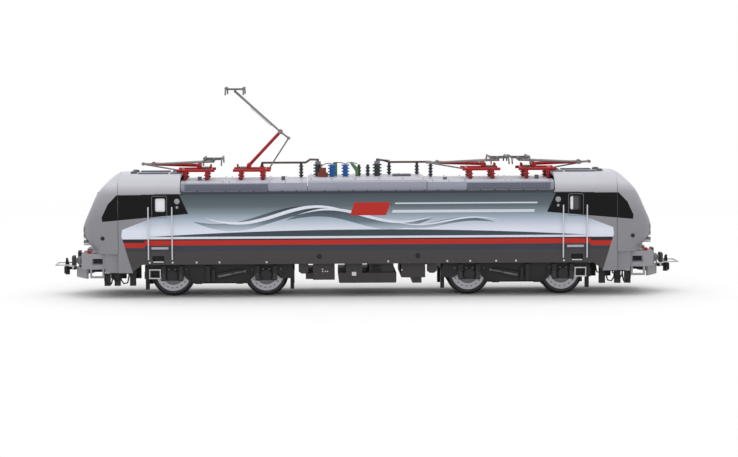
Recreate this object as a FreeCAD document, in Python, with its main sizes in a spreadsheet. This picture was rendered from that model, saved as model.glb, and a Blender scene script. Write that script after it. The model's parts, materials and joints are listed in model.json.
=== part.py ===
import FreeCAD, Part

import math
import os
import re

import Sketcher

# Model electric locomotive with four axles and four pantographs, scale 1:87, in millimetres.
# +X runs along the locomotive, +Z is up and the wheel flanges stand on Z = 0.
# Every piece is drawn on its own; pieces of the second end are mirror images of the first.

os.makedirs("parts", exist_ok=True)
doc = FreeCAD.newDocument("model_locomotive")
vec = FreeCAD.Vector

# ------------------------------------------------------------------ driving dimensions
SIZES = {
    # shell
    "half_width": 17.3, "wall": 1.2, "skirt_z": 12.5, "gutter_z": 39.0, "roof_z": 45.4,
    "shoulder_radius": 8.0, "seam_x": 91.5, "cab_roof_end": 68.7, "nose_sill": 16.5,
    "apron_front": 96.5, "apron_back": 86.0, "apron_taper": 82.7, "skin": 0.4, "edge_round": 0.5,
    "groove": 0.2, "deck_z": 42.8, "hatch_edge_z": 42.2, "hatch_half": 15.6,
    "hatch_top_half": 12.0, "hatch_joint": 21.9, "centre_deck_z": 43.7, "louvre_end": 36.5, "slat_thick": 0.5,
    "hatch_gap": 0.2, "grille_high": 0.35,
    # roof gear
    "bar_side": 8.6, "terminal_high": 0.6, "bar_z": 48.4, "bar_radius": 0.4, "bar_start": 39.1, "bar_end": 24.6,
    "breaker_x": 18.0, "breaker_z": 49.9, "breaker_radius": 1.7, "post_radius": 0.85, "switch_radius": 1.45,
    "core_share": 0.62, "shed_first": 0.5, "shed_pitch": 1.15, "shed_thick": 0.5,
    # cab openings
    "door_x": 76.0,
    "pane_low": 32.0, "pane_high": 36.9, "pane_half": 1.8, "handrail_gap": 4.35,
    "handrail_low": 14.4, "handrail_high": 33.8, "rail_radius": 0.25, "rail_stand": 0.9,
    "step_low": 13.2, "step_high": 15.7, "step_half": 2.15, "step_deep": 1.6,
    "cab_floor": 23.0, "cab_half": 14.5, "cab_wall": 73.0, "desk_front": 98.5, "desk_deep": 6.0, "desk_high": 5.5,
    "seat_x": 86.5, "seat_half": 2.0, "seat_high": 4.0, "seat_back": 10.0,
    # ends
    "buffer_y": 10.06, "buffer_z": 13.6, "buffer_face": 109.1, "buffer_thick": 1.0,
    "buffer_half_wide": 2.6, "buffer_half_high": 1.8, "buffer_shank": 1.0,
    "crash_front": 105.3, "crash_low": 10.8, "crash_high": 16.4, "crash_in": 5.6, "crash_out": 14.9,
    "step_rung": 7.4, "step_bar": 0.75,
    "plough_front": 108.4, "plough_back": 103.9, "plough_half": 10.9, "coupler_gap": 3.2, "bracket_y": 7.5,
    "plough_low": 6.8, "plough_high": 10.5, "plough_thick": 0.7,
    "pipe_in": 11.5, "pipe_out": 13.5, "pipe_top": 8.8, "hose_low": 4.4, "hose_half": 1.1,
    # running gear
    "pivot_x": 54.6, "axle_half": 17.25, "tread_radius": 7.18, "flange_radius": 8.2,
    "axle_z": 8.2, "back_half": 7.2, "wheel_width": 2.9, "flange_width": 0.8, "axle_radius": 1.0,
    "running": 0.05, "lamp_y": 9.6, "lamp_low": 20.2, "lamp_high": 24.9, "lamp_radius": 0.95,
    "lamp_front": 104.9, "lamp_back": 101.9, "disc_recess": 0.5, "bogie_half": 27.6, "frame_in": 12.4, "frame_out": 14.6,
    "frame_top": 12.1, "frame_low": 5.6, "horn_z": 8.6, "horn_half": 2.4, "box_low": 6.3,
    "cover_radius": 1.9, "spring_x": 3.2, "spring_radius": 0.75, "spring_top": 9.3, "spring_low": 6.9,
    "spring_out": 0.75, "fitting_out": 1.5, "gearbox_half": 5.6, "gearbox_low": 4.2,
    "tower_half": 5.0, "tower_top": 23.4, "kingpin_radius": 2.0, "kingpin_top": 27.0, "worm_z": 19.0,
    "shaft_radius": 0.8, "cup_radius": 3.1, "cup_inner": 2.6, "cup_long": 3.2, "ball_radius": 1.2,
    # chassis and drive
    "chassis_half": 88.0, "rail_in": 14.0, "rail_out": 15.9, "plate_low": 12.8, "plate_high": 15.8,
    "bridge_low": 24.0, "bridge_half": 5.5, "opening_half": 29.5, "motor_half": 14.0,
    "motor_radius": 7.2, "motor_flat": 6.2, "bearing_long": 1.0, "flywheel_radius": 5.8, "flywheel_long": 8.0, "board_z": 31.0,
    "board_thick": 0.9, "board_half": 53.0, "board_y": 9.0, "pillar_radius": 1.2, "bridge_thick": 3.0,
    # pantographs
    "pan_inner": 42.6, "pan_outer": 63.4, "pan_base_half": 7.0, "pan_base_y": 6.3, "pan_base_z": 46.4,
    "pan_tube": 0.55, "knee_hub": 0.7, "base_hinge": 3.4, "pan_back": 1.1, "pan_rise": 5.2, "lower_arm": 17.1, "upper_arm": 22.5,
    "crank": 3.9, "crank_lead": 184.0, "rod_drop": 1.7, "raised_low": 46.6, "raised_high": 138.0,
    "folded_low": 2.0, "folded_high": 177.6, "arm_tube": 0.6, "upper_tube": 0.32, "rod_tube": 0.28, "rod_side": 2.1, "head_link": 4.6,
    "head_half": 3.3, "strip_half": 7.2, "strip_wide": 0.9, "horn_tube": 0.28,
    "insulator_radius": 1.05, "insulator_x": 4.1, "foot_high": 0.75,
    # underfloor
    "tank_half": 10.6, "tank_low": 5.2, "tank_top": 8.9, "tank_y": 15.4, "case_low": 6.4, "relay_low": 7.1,
    "case_left": 20.1, "case_right": 12.1, "relay_left": 12.4, "relay_right": 21.2, "skid_low": 5.0, "jack_x": 23.6,
    "jack_half": 1.8, "jack_low": 8.8,
    # coupling
    "coupler_x": 104.0, "coupler_z": 9.8, "coupler_tip": 113.0, "loop_tip": 116.2,
    "loop_x": 109.6, "loop_z": 11.1, "loop_half": 5.0, "loop_bar": 0.45, "loop_pin": 0.28, "loop_bearing": 2.4,
}
for number, low_front in enumerate([101.9, 103.9, 104.8, 102.8, 100.9, 98.3, 95.3, 92.4], 1):
    SIZES["nose_front_%d" % number] = low_front
for number, height in enumerate([16.5, 21.0, 26.8, 31.6, 36.0, 40.1, 43.1, 45.4], 1):
    SIZES["nose_height_%d" % number] = height

sheet = doc.addObject("Spreadsheet::Sheet", "Sizes")
for row, (alias, number) in enumerate(SIZES.items(), 1):
    sheet.set("A%d" % row, alias)
    sheet.set("B%d" % row, str(number))
    sheet.setAlias("B%d" % row, alias)
doc.recompute()


def linked(text):
    """Turn the sheet's aliases inside a formula into references to the sheet."""
    return re.sub(r"[a-z_][a-z_0-9]*", lambda m: ("Sizes." if m.group() in SIZES else "") + m.group(),
                  str(text))


def value(text):
    return float(sheet.evalExpression(linked(text)))


def bind(thing, prop, text):
    thing.setExpression(prop, linked(text))


# ------------------------------------------------------------------ drawing helpers
NODES = {}
SIGN = {"XY": 1, "YZ": 1, "XZ": -1}


def body(label, listed=True):
    made = doc.addObject("PartDesign::Body", label)
    made.Label = label
    made.AllowCompound = True
    if listed:
        NODES[label] = made
    return made


def flat_sketch(owner, plane, offset):
    """An empty sketch of a body, parallel to one of its origin planes."""
    made = owner.newObject("Sketcher::SketchObject", "outline")
    base = [o for o in owner.Origin.OriginFeatures if o.Role == plane + "_Plane"][0]
    made.AttachmentSupport = [(base, "")]
    made.MapMode = "FlatFace"
    bind(made, ".AttachmentOffset.Base.z", offset)
    return made


def pin_point(drawn, piece, point, first, second):
    """Hold a point of a sketch at its two formulas, measured from the origin."""
    for kind, axis, text in (("DistanceX", -2, first), ("DistanceY", -1, second)):
        if str(text) == "0":
            drawn.addConstraint(Sketcher.Constraint("PointOnObject", piece, point, axis))
        else:
            key = drawn.addConstraint(Sketcher.Constraint(kind, piece, point, value(text)))
            drawn.setExpression("Constraints[%d]" % key, linked(text))


def polygon(drawn, points):
    places = [vec(value(a), value(b), 0) for a, b in points]
    first = drawn.GeometryCount
    count = len(points)
    for i in range(count):
        drawn.addGeometry(Part.LineSegment(places[i], places[(i + 1) % count]), False)
    for i in range(count):
        drawn.addConstraint(Sketcher.Constraint("Coincident", first + i, 2, first + (i + 1) % count, 1))
        pin_point(drawn, first + i, 1, *points[i])


def circle(drawn, centre, radius):
    place = vec(value(centre[0]), value(centre[1]), 0)
    piece = drawn.addGeometry(Part.Circle(place, vec(0, 0, 1), value(radius)), False)
    key = drawn.addConstraint(Sketcher.Constraint("Radius", piece, value(radius)))
    drawn.setExpression("Constraints[%d]" % key, linked(radius))
    pin_point(drawn, piece, 3, *centre)


def pad(owner, plane, shapes, low, high):
    """Fill outlines between two places along the plane's axis; a shape is points or (centre, radius)."""
    offset = low if SIGN[plane] > 0 else "-(%s)" % high
    return raised(owner, "PartDesign::Pad", plane, shapes, offset, low, high)


def pocket(owner, plane, shapes, low, high):
    """Cut outlines between two places along the plane's axis."""
    offset = high if SIGN[plane] > 0 else "-(%s)" % low
    return raised(owner, "PartDesign::Pocket", plane, shapes, offset, low, high)


def raised(owner, kind, plane, shapes, offset, low, high):
    drawn = flat_sketch(owner, plane, offset)
    for shape in shapes:
        if len(shape) == 2 and not isinstance(shape[1], tuple):
            circle(drawn, *shape)
        else:
            polygon(drawn, shape)
    made = owner.newObject(kind, kind.split("::")[1])
    made.Profile = drawn
    bind(made, "Length", "(%s) - (%s)" % (high, low))
    drawn.Visibility = False
    return made


def box(owner, x, y, z):
    """A block of a body from its three pairs of limits."""
    return pad(owner, "XY", [rectangle(x, y)], z[0], z[1])


def cut_box(owner, x, y, z):
    return pocket(owner, "XY", [rectangle(x, y)], z[0], z[1])


def rectangle(first, second):
    return [(first[0], second[0]), (first[1], second[0]), (first[1], second[1]), (first[0], second[1])]


def mirrored(owner, features, plane):
    base = [o for o in owner.Origin.OriginFeatures if o.Role == plane + "_Plane"][0]
    made = owner.newObject("PartDesign::Mirrored", "Mirrored")
    made.Originals = features
    made.MirrorPlane = (base, [""])
    owner.Tip = made
    return made


def rounded(owner, radius, chosen):
    """Fillet the edges of a body's last feature that the test picks."""
    doc.recompute()
    last = owner.Tip
    names = ["Edge%d" % (i + 1) for i, e in enumerate(last.Shape.Edges) if chosen(e)]
    made = owner.newObject("PartDesign::Fillet", "Fillet")
    made.Base = (last, names)
    bind(made, "Radius", radius)
    return made


def along(edge, axis):
    """True for a straight edge that runs along X, Y or Z."""
    size = edge.BoundBox
    spans = {"X": size.XLength, "Y": size.YLength, "Z": size.ZLength}
    return spans.pop(axis) > 0.01 and max(spans.values()) < 0.001


def other_end(source, label):
    """The same piece at the other end of the locomotive."""
    made = doc.addObject("Part::Mirroring", label)
    made.Label = label
    made.Source = source
    made.Normal = vec(1, 0, 0)
    NODES[label] = made
    return made


def both_ends(source, label):
    """One node that holds a piece and its mirror image at the other end."""
    far = doc.addObject("Part::Mirroring", label + "_far")
    far.Source = source
    far.Normal = vec(1, 0, 0)
    return joined("Part::MultiFuse", label, [source, far])


def joined(kind, label, parts, listed=True):
    made = doc.addObject(kind, label)
    made.Label = label
    if kind in ("Part::MultiFuse", "Part::MultiCommon"):
        made.Shapes = parts
    else:
        made.Base, made.Tool = parts
    if listed:
        NODES[label] = made
    return made


def tube(start, end, radius):
    """A round bar between two points, its radius read from the sheet."""
    made = doc.addObject("Part::Cylinder", "bar")
    bind(made, "Radius", radius)
    made.Height = (end - start).Length
    made.Placement = FreeCAD.Placement(start, FreeCAD.Rotation(vec(0, 0, 1), end - start))
    return made


# ------------------------------------------------------------------ shell
def nose_form(label, inset):
    """One cab's rounded form: level outlines that follow the nose's side view, lofted upwards."""
    made = body(label, listed=False)
    inset = value(inset)
    rings = []
    for number in range(1, 9):
        height = value("nose_height_%d" % number)
        rise = max(0.0, height - value("roof_z - shoulder_radius"))
        half = value("half_width - shoulder_radius")
        half += math.sqrt(max(0.0, value("shoulder_radius") ** 2 - rise ** 2)) - inset
        front = -value("nose_front_%d" % number) + 1.25 * inset
        corner = 0.52 * half
        level = height - (inset if number > 4 else 0.0)
        back = -value("seam_x") + 6.0
        drawn = made.newObject("Sketcher::SketchObject", "ring")
        base = [o for o in made.Origin.OriginFeatures if o.Role == "XY_Plane"][0]
        drawn.AttachmentSupport = [(base, "")]
        drawn.MapMode = "FlatFace"
        drawn.AttachmentOffset = FreeCAD.Placement(vec(0, 0, level), FreeCAD.Rotation())
        turn = math.pi / 2
        line = Part.LineSegment
        arc = Part.ArcOfCircle
        drawn.addGeometry(line(vec(back, -half, 0), vec(back, half, 0)), False)
        drawn.addGeometry(line(vec(back, half, 0), vec(front + corner, half, 0)), False)
        up = Part.Circle(vec(front + corner, half - corner, 0), vec(0, 0, 1), corner)
        drawn.addGeometry(arc(up, turn, 2 * turn), False)
        drawn.addGeometry(line(vec(front, half - corner, 0), vec(front, corner - half, 0)), False)
        down = Part.Circle(vec(front + corner, corner - half, 0), vec(0, 0, 1), corner)
        drawn.addGeometry(arc(down, 2 * turn, 3 * turn), False)
        drawn.addGeometry(line(vec(front + corner, -half, 0), vec(back, -half, 0)), False)
        rings.append(drawn)
    loft = made.newObject("PartDesign::AdditiveLoft", "Loft")
    loft.Profile = rings[0]
    loft.Sections = rings[1:]
    return made



def hull_form(label, inset):
    """The shell's outer form, or the same form moved inwards."""
    straight = body(label + "_straight", listed=False)
    wide = "half_width - %s" % inset
    top = "roof_z - %s" % inset
    section = [("-(%s)" % wide, "skirt_z - 3"), (wide, "skirt_z - 3"), (wide, top), ("-(%s)" % wide, top)]
    pad(straight, "YZ", [section], "-seam_x", "seam_x")

    def shoulders(edge):
        return along(edge, "X") and abs(edge.BoundBox.ZMax - value(top)) < 0.01

    rounded(straight, "shoulder_radius - %s" % inset, shoulders)
    box(straight, ("-apron_front + %s" % inset, "apron_front - %s" % inset),
        ("-half_width + 1 + %s" % inset, "half_width - 1 - %s" % inset), ("skirt_z - 3", "nose_sill + 1"))
    limit = body(label + "_limit", listed=False)
    pad(limit, "YZ", [section], "-buffer_face", "buffer_face")
    rounded(limit, "shoulder_radius - %s" % inset, shoulders)
    nose = nose_form(label + "_nose", inset)
    far_nose = doc.addObject("Part::Mirroring", label + "_far")
    far_nose.Source = nose
    far_nose.Normal = vec(1, 0, 0)
    whole = joined("Part::MultiFuse", label + "_whole", [straight, nose, far_nose], listed=False)
    return joined("Part::Common", label, (whole, limit), listed=False)


hull = hull_form("hull", "0.0")
under_skin = hull_form("under_skin", "skin")
cavity = hull_form("cavity", "wall")

# what is taken from the form: the low roof between the cabs, the apron's outline and the openings
trim = body("trim", listed=False)
box(trim, ("-cab_roof_end", "cab_roof_end"), ("-half_width - 1", "half_width + 1"),
    ("gutter_z", "roof_z + 1"))
box(trim, ("-apron_taper", "apron_taper"), ("-half_width - 1", "half_width + 1"),
    ("skirt_z - 4", "skirt_z"))
for side in ("-", ""):
    for end in (-1, 1):
        if end < 0:
            spots = [("-apron_taper", "skirt_z"), ("-apron_taper", "skirt_z - 4"),
                     ("-apron_back", "skirt_z - 4"),
                     ("-apron_back", "skirt_z - 2.4")]
        else:
            spots = [("apron_taper", "skirt_z"), ("apron_back", "skirt_z - 2.4"),
                     ("apron_back", "skirt_z - 4"),
                     ("apron_taper", "skirt_z - 4")]
        low, high = ("-half_width - 1", "-rail_out") if side else ("rail_out", "half_width + 1")
        pad(trim, "XZ", [spots], low, high)

doors = body("doors", listed=False)
for end in ("-", ""):
    centre = end + "door_x"
    pad(doors, "XZ", [rectangle((centre + " - pane_half", centre + " + pane_half"),
                                ("pane_low", "pane_high"))],
        "-half_width - 1", "half_width + 1")
rounded(doors, "0.6", lambda e: along(e, "Y"))

steps = body("steps", listed=False)
for end in ("-", ""):
    centre = end + "door_x - 0.8" if end else "door_x + 0.8"
    wide = (centre + " - step_half", centre + " + step_half")
    box(steps, wide, ("-half_width - 1", "-half_width + step_deep"), ("step_low", "step_high"))
    box(steps, wide, ("half_width - step_deep", "half_width + 1"), ("step_low", "step_high"))

seams = body("seams", listed=False)
for end in ("-", ""):
    box(seams, (end + "seam_x - groove / 2", end + "seam_x + groove / 2"),
        ("-half_width - 1", "half_width + 1"),
        ("nose_sill", "roof_z + 1"))

# dark cab side panels: a leaf-shaped outline, one on each side of each cab
leaf = body("leaf", listed=False)
side_outline = [("97.3", "28.4"), ("97.5", "30.0"), ("95.2", "34.8"), ("91.9", "38.2"), ("69.0", "38.3"),
                ("65.7", "31.2")]
for end in ("-", ""):
    spots = [(end + "1 * (%s)" % a if end else a, b) for a, b in side_outline]
    pad(leaf, "XZ", [spots], "-half_width - 1", "half_width + 1")
core = body("core", listed=False)
box(core, ("-buffer_face", "buffer_face"), ("-half_width + 4", "half_width - 4"), ("0", "roof_z + 1"))
side_leaf = joined("Part::Cut", "side_leaf", (leaf, core), listed=False)

# windscreens: a trapezium seen from the front, one at each end
screen = body("screen", listed=False)
front_outline = [("-9.4", "30.2"), ("9.4", "30.2"), ("8.4", "42.0"), ("-8.4", "42.0")]
pad(screen, "YZ", [front_outline], "-buffer_face", "buffer_face")
middle = body("middle", listed=False)
box(middle, ("-seam_x", "seam_x"), ("-half_width - 1", "half_width + 1"), ("0", "roof_z + 1"))
front_screen = joined("Part::Cut", "front_screen", (screen, middle), listed=False)

# the lamps sit in round seats that go through the nose
lamps = body("headlamps_left", listed=False)
for side in ("-", ""):
    for z, radius in (("lamp_low", "lamp_radius + 0.1"), ("(lamp_low + lamp_high) / 2", "lamp_radius"),
                      ("lamp_high", "lamp_radius - 0.1")):
        pad(lamps, "YZ", [((side + "lamp_y", z), radius)], "-lamp_front", "-lamp_back")
lamp_set = both_ends(lamps, "headlamps")

# panels let into the skin: the glazing fills them flush, and a narrow seam parts the cab from the side
glazed = joined("Part::MultiFuse", "glazed", [side_leaf, front_screen], listed=False)
let_in = joined("Part::MultiFuse", "let_in", [side_leaf, front_screen, seams], listed=False)
glass_space = joined("Part::Cut", "glass_space", (glazed, under_skin), listed=False)
panel_space = joined("Part::Cut", "panel_space", (let_in, under_skin), listed=False)
panels = joined("Part::Common", "panels", (hull, glass_space), listed=False)
gaps = joined("Part::MultiFuse", "gaps", [doors, seams], listed=False)
joined("Part::Cut", "cab_glazing", (panels, gaps))

roof_floor = body("roof_floor", listed=False)
box(roof_floor, ("-cab_roof_end + wall", "cab_roof_end - wall"), ("-half_width - 1", "half_width + 1"),
    ("gutter_z - wall", "roof_z + 1"))
hollow = joined("Part::Cut", "hollow", (cavity, roof_floor), listed=False)
open_below = body("open_below", listed=False)
box(open_below, ("-seam_x + 2", "seam_x - 2"), ("-half_width + wall", "half_width - wall"),
    ("0", "nose_sill"))
removed = joined("Part::MultiFuse", "removed", [trim, hollow, open_below, doors, steps, panel_space,
                                                lamp_set],
                 listed=False)
joined("Part::Cut", "body_shell", (hull, removed))

# ------------------------------------------------------------------ roof
def hatch(label, low, high, edge, top, ends=()):
    """A roof cover between the cabs: upright edges, a bevel and a flat deck."""
    made = body(label)
    pad(made, "YZ", [[("-hatch_half", "gutter_z"), ("hatch_half", "gutter_z"), ("hatch_half", edge),
                      ("hatch_top_half", top), ("-hatch_top_half", top), ("-hatch_half", edge)]], low, high)
    for first, second in ends:
        pocket(made, "XZ", [[(first, top + " + 1"), (first, edge), (second, top), (second, top + " + 1")]],
               "-half_width", "half_width")
    return made


left_hatch = hatch("roof_hatch_left", "-cab_roof_end + hatch_gap", "-hatch_joint - hatch_gap / 2",
                   "hatch_edge_z",
                   "deck_z")
for low, high in (("-hatch_half - 1", "-hatch_half + 0.3"), ("hatch_half - 0.3", "hatch_half + 1")):
    cut_box(left_hatch, ("-cab_roof_end + 1.4", "-louvre_end"), (low, high),
            ("gutter_z + 0.6", "hatch_edge_z - 0.5"))
slats = pad(left_hatch, "XY", [rectangle(("-cab_roof_end + 1.8", "-cab_roof_end + 1.8 + slat_thick"), y)
                               for y in (("-hatch_half", "-hatch_half + 0.4"),
                                         ("hatch_half - 0.4", "hatch_half"))],
            "gutter_z + 0.5", "hatch_edge_z - 0.4")
rows = left_hatch.newObject("PartDesign::LinearPattern", "LinearPattern")
rows.Originals = [slats]
rows.Direction = ([o for o in left_hatch.Origin.OriginFeatures if o.Role == "X_Axis"][0], [""])
bind(rows, "Length", "cab_roof_end - louvre_end - 2.4")
rows.Occurrences = 24
left_hatch.Tip = rows
other_end(left_hatch, "roof_hatch_right")
hatch("roof_hatch_middle", "-hatch_joint + hatch_gap / 2", "hatch_joint - hatch_gap / 2",
      "centre_deck_z - 0.6",
      "centre_deck_z", [("-hatch_joint", "-hatch_joint + 1.6"), ("hatch_joint", "hatch_joint - 1.6")])

fittings = body("cab_roof_fittings_left", listed=False)
for low, high in (("-84.6", "-73.6"), ("-72.6", "-68.6")):
    for near, far in (("4.6", "9.0"), ("-9.0", "-4.6")):
        box(fittings, (low, high), (near, far), ("roof_z", "roof_z + grille_high"))
for centre in ("-5.2", "5.2"):
    pad(fittings, "XY", [(("-86.4", centre), "1.3")], "roof_z", "roof_z + 0.9")
rounded(fittings, "0.7",
        lambda e: abs(e.BoundBox.ZMin - value("roof_z + 0.9")) < 0.01 and e.BoundBox.ZLength < 0.01)
both_ends(fittings, "cab_roof_fittings")


# ------------------------------------------------------------------ roof gear along the middle
def sheds(owner, places, foot, high, radius, count):
    """Insulators of a body that stand alike at several places: cores with round sheds at even steps."""
    pad(owner, "XY", [(place, "%s * core_share" % radius) for place in places], foot, high)
    for number in range(count):
        low = "%s + shed_first + %d * shed_pitch" % (foot, number)
        pad(owner, "XY", [(place, radius) for place in places], low, low + " + shed_thick")


posts = body("roof_posts")
sheds(posts, [("-bar_start", "bar_side"), ("-24.3", "bar_side"), ("bar_end", "bar_side")], "deck_z",
      "bar_z - bar_radius",
      "post_radius", 4)
sheds(posts, [("0.6", "0"), ("-2.7", "0"), ("8.9", "bar_side"), ("19.4", "bar_side")], "centre_deck_z",
      "bar_z - bar_radius", "post_radius", 3)
sheds(posts, [("-breaker_x", "0"), ("4.1", "0")], "centre_deck_z", "breaker_z - terminal_high",
      "breaker_radius", 4)

switchgear = body("roof_switchgear")
sheds(switchgear, [("-12.8", "-3.0"), ("-7.8", "-2.0")], "centre_deck_z", "centre_deck_z + 4.3",
      "switch_radius", 4)
pad(switchgear, "XY", [(("-16.2", "-4.2"), "1.9")], "centre_deck_z", "centre_deck_z + 1.6")
pad(switchgear, "XY", [(("-16.2", "-4.2"), "1.2")], "centre_deck_z + 1.5", "centre_deck_z + 3.4")
box(switchgear, ("-12.2", "-10.8"), ("0.6", "2.0"), ("centre_deck_z", "centre_deck_z + 5.2"))
pad(switchgear, "XZ", [[("-5.4", "centre_deck_z + 5.5"), ("-2.9", "centre_deck_z + 2.9"),
                        ("-2.9", "centre_deck_z + 1.9"), ("-3.6", "centre_deck_z + 1.1"),
                        ("-6.0", "centre_deck_z + 4.7")]], "-1.9", "-1.2")
box(switchgear, ("-4.1", "-2.9"), ("-2.0", "-1.1"), ("centre_deck_z", "centre_deck_z + 2.3"))

trays = body("roof_boxes")
for x, y, high in (("-61.9", "-6.9", "1.4"), ("-30.9", "-7.0", "1.4"), ("28.9", "-8", "0.8"),
                   ("63.0", "-6.9", "1.4")):
    box(trays, (x + " - 0.7", x + " + 0.7"), (y + " - 0.9", y + " + 0.9"), ("deck_z", "deck_z + " + high))
for x in ("11.5", "15.0"):
    box(trays, (x + " - 1.6", x + " + 1.6"), ("-3", "3"), ("centre_deck_z", "centre_deck_z + 0.7"))


def bar_run(label, points, radius):
    """A bent round bar through its points, with a ball at each corner."""
    pieces = []
    for first, second in zip(points[:-1], points[1:]):
        pieces.append(tube(vec(*first), vec(*second), radius))
    for place in points[1:-1]:
        ball = doc.addObject("Part::Sphere", "corner")
        bind(ball, "Radius", radius)
        ball.Placement.Base = vec(*place)
        pieces.append(ball)
    return joined("Part::MultiFuse", label, pieces, listed=False)


aside, bar_z, breaker_z = value("bar_side"), value("bar_z"), value("breaker_z")
start, finish, breaker = value("bar_start"), value("bar_end"), value("breaker_x")
post_top, breaker_top = value("bar_z - bar_radius"), value("breaker_z - terminal_high")
left_line = [(-start, aside, post_top), (-start, aside, bar_z), (-breaker - 4.6, aside, bar_z),
             (-breaker - 2.9, aside - 3, breaker_z - 0.2), (-breaker, 0, breaker_z), (-breaker, 0,
                                                                                      breaker_top)]
right_line = [(4.1, 0, breaker_top), (4.1, 0, breaker_z), (6.8, aside - 2, (bar_z + breaker_z) / 2),
              (8.9, aside, bar_z), (finish, aside, bar_z), (finish, aside, post_top)]
left_bar = bar_run("roof_bar_left", left_line, "bar_radius")
right_bar = bar_run("roof_bar_right", right_line, "bar_radius")
joined("Part::MultiFuse", "roof_bars", [left_bar, right_bar])

# ------------------------------------------------------------------ cab details
rails = []
for end in ("-", ""):
    for side in ("-", ""):
        for shift in ("- handrail_gap", "+ handrail_gap"):
            x = value(end + "door_x %s" % shift)
            y = value(side + "(half_width + rail_stand)")
            inside = value(side + "half_width")
            low, high = value("handrail_low"), value("handrail_high")
            rails.append(tube(vec(x, y, low), vec(x, y, high), "rail_radius"))
            for level in (low + 0.4, high - 0.4):
                rails.append(tube(vec(x, inside, level), vec(x, y, level), "rail_radius * 0.8"))
joined("Part::MultiFuse", "door_handrails", rails)


def front_at(height):
    """How far out the middle of the nose reaches at a height."""
    rings = [(value("nose_height_%d" % k), value("nose_front_%d" % k)) for k in range(1, 9)]
    for (low, first), (high, second) in zip(rings[:-1], rings[1:]):
        if low <= height <= high:
            return first + (second - first) * (height - low) / (high - low)


arms = []
for end in (-1, 1):
    for side in (-1, 1):
        foot = vec(end * (front_at(29.6) + 0.35), side * 1.2, 29.6)
        tip = vec(end * (front_at(38.6) + 0.35), side * 5.6, 38.6)
        arms.append(tube(foot, tip, "0.22"))
        arms.append(tube(foot + vec(-end * 1.2, 0, 0), foot, "0.35"))
joined("Part::MultiFuse", "wipers", arms)

desk = body("cab_interior_left", listed=False)
box(desk, ("-desk_front", "-cab_wall"), ("-cab_half", "cab_half"), ("cab_floor - 1", "cab_floor"))
box(desk, ("-desk_front", "-desk_front + desk_deep"), ("-cab_half + 2", "cab_half - 2"),
    ("cab_floor - 0.1", "cab_floor + desk_high"))
box(desk, ("-seat_x - seat_half", "-seat_x + seat_half"), ("-seat_half - 0.4", "seat_half + 0.4"),
    ("cab_floor - 0.1", "cab_floor + seat_high"))
box(desk, ("-seat_x + seat_half - 0.4", "-seat_x + seat_half + 0.9"),
    ("-seat_half - 0.4", "seat_half + 0.4"),
    ("cab_floor - 0.1", "cab_floor + seat_back"))
box(desk, ("-cab_wall - wall", "-cab_wall"), ("-cab_half", "cab_half"),
    ("cab_floor - 0.1", "pane_low - 1.5"))
both_ends(desk, "cab_interiors")

# ------------------------------------------------------------------ ends: crash boxes, buffers, plough
ends = body("crash_boxes_left", listed=False)
for near, far in (("-crash_out", "-crash_in"), ("crash_in", "crash_out")):
    box(ends, ("-crash_front", "-apron_front"), (near, far), ("crash_low", "crash_high"))
box(ends, ("-apron_front - 3", "-apron_front"), ("-crash_out", "crash_out"),
    ("crash_low + 1", "crash_high"))
for near, far in (("-crash_out - 1", "-crash_out + wall"), ("crash_out - wall", "crash_out + 1")):
    cut_box(ends, ("-crash_front + 4", "-apron_front - 1"), (near, far),
            ("crash_low + 1.6", "crash_high - 1.8"))
rung = [rectangle(("-crash_front + 3.1", "-crash_front + 8.3"), ("step_rung", "crash_low + 0.1")),
        rectangle(("-crash_front + 3.8", "-crash_front + 7.6"),
                  ("step_rung + step_bar", "crash_low - 0.1"))]
for near, far in (("-crash_out", "-crash_out + step_bar"), ("crash_out - step_bar", "crash_out")):
    pad(ends, "XZ", rung, near, far)
both_ends(ends, "crash_boxes")

buffers = body("buffers_left", listed=False)
for side in ("-", ""):
    pad(buffers, "YZ", [[(side + "buffer_y - buffer_half_wide", "buffer_z - buffer_half_high"),
                         (side + "buffer_y + buffer_half_wide", "buffer_z - buffer_half_high"),
                         (side + "buffer_y + buffer_half_wide", "buffer_z + buffer_half_high"),
                         (side + "buffer_y - buffer_half_wide", "buffer_z + buffer_half_high")]],
        "-buffer_face", "-buffer_face + buffer_thick")
rounded(buffers, "0.9", lambda e: along(e, "X"))
for side in ("-", ""):
    pad(buffers, "YZ", [((side + "buffer_y", "buffer_z"), "buffer_shank * 1.5")], "-crash_front - 1.8",
        "-crash_front")
    pad(buffers, "YZ", [((side + "buffer_y", "buffer_z"), "buffer_shank")], "-buffer_face + 0.5",
        "-crash_front - 1.5")
both_ends(buffers, "buffers")

plough = body("snow_plough_left", listed=False)
for side in ("-", ""):
    pad(plough, "XY", [[("-plough_front", side + "coupler_gap"),
                        ("-plough_front + plough_thick", side + "coupler_gap"),
                        ("-plough_back + plough_thick", side + "(plough_half - 0.4)"),
                        ("-plough_back", side + "plough_half")]], "plough_low", "plough_high")
    box(plough, ("-crash_front - 0.7", "-apron_front - 3.5"),
        (side + "bracket_y - plough_thick", side + "bracket_y + plough_thick"), ("plough_high - 0.7",
                                                                                 "crash_low"))
box(plough, ("-plough_front", "-plough_front + plough_thick"), ("-coupler_gap - 0.1", "coupler_gap + 0.1"),
    ("plough_low", "plough_low + 1.2"))
both_ends(plough, "snow_ploughs")

pipes = body("cab_pipework_left", listed=False)
for near, far in (("-pipe_out", "-pipe_in"), ("pipe_in", "pipe_out")):
    box(pipes, ("-apron_front + 1.3", "-apron_back + 0.5"), (near, far), ("pipe_top", "plate_low"))
    hoses = [rectangle((middle + " - hose_half", middle + " + hose_half"), ("hose_low", "pipe_top + 0.1"))
             for middle in ("-apron_front + 0.5", "-apron_front + 4.2", "-apron_back - 0.6")]
    pad(pipes, "XZ", hoses, near, far)
both_ends(pipes, "cab_pipework")

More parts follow.
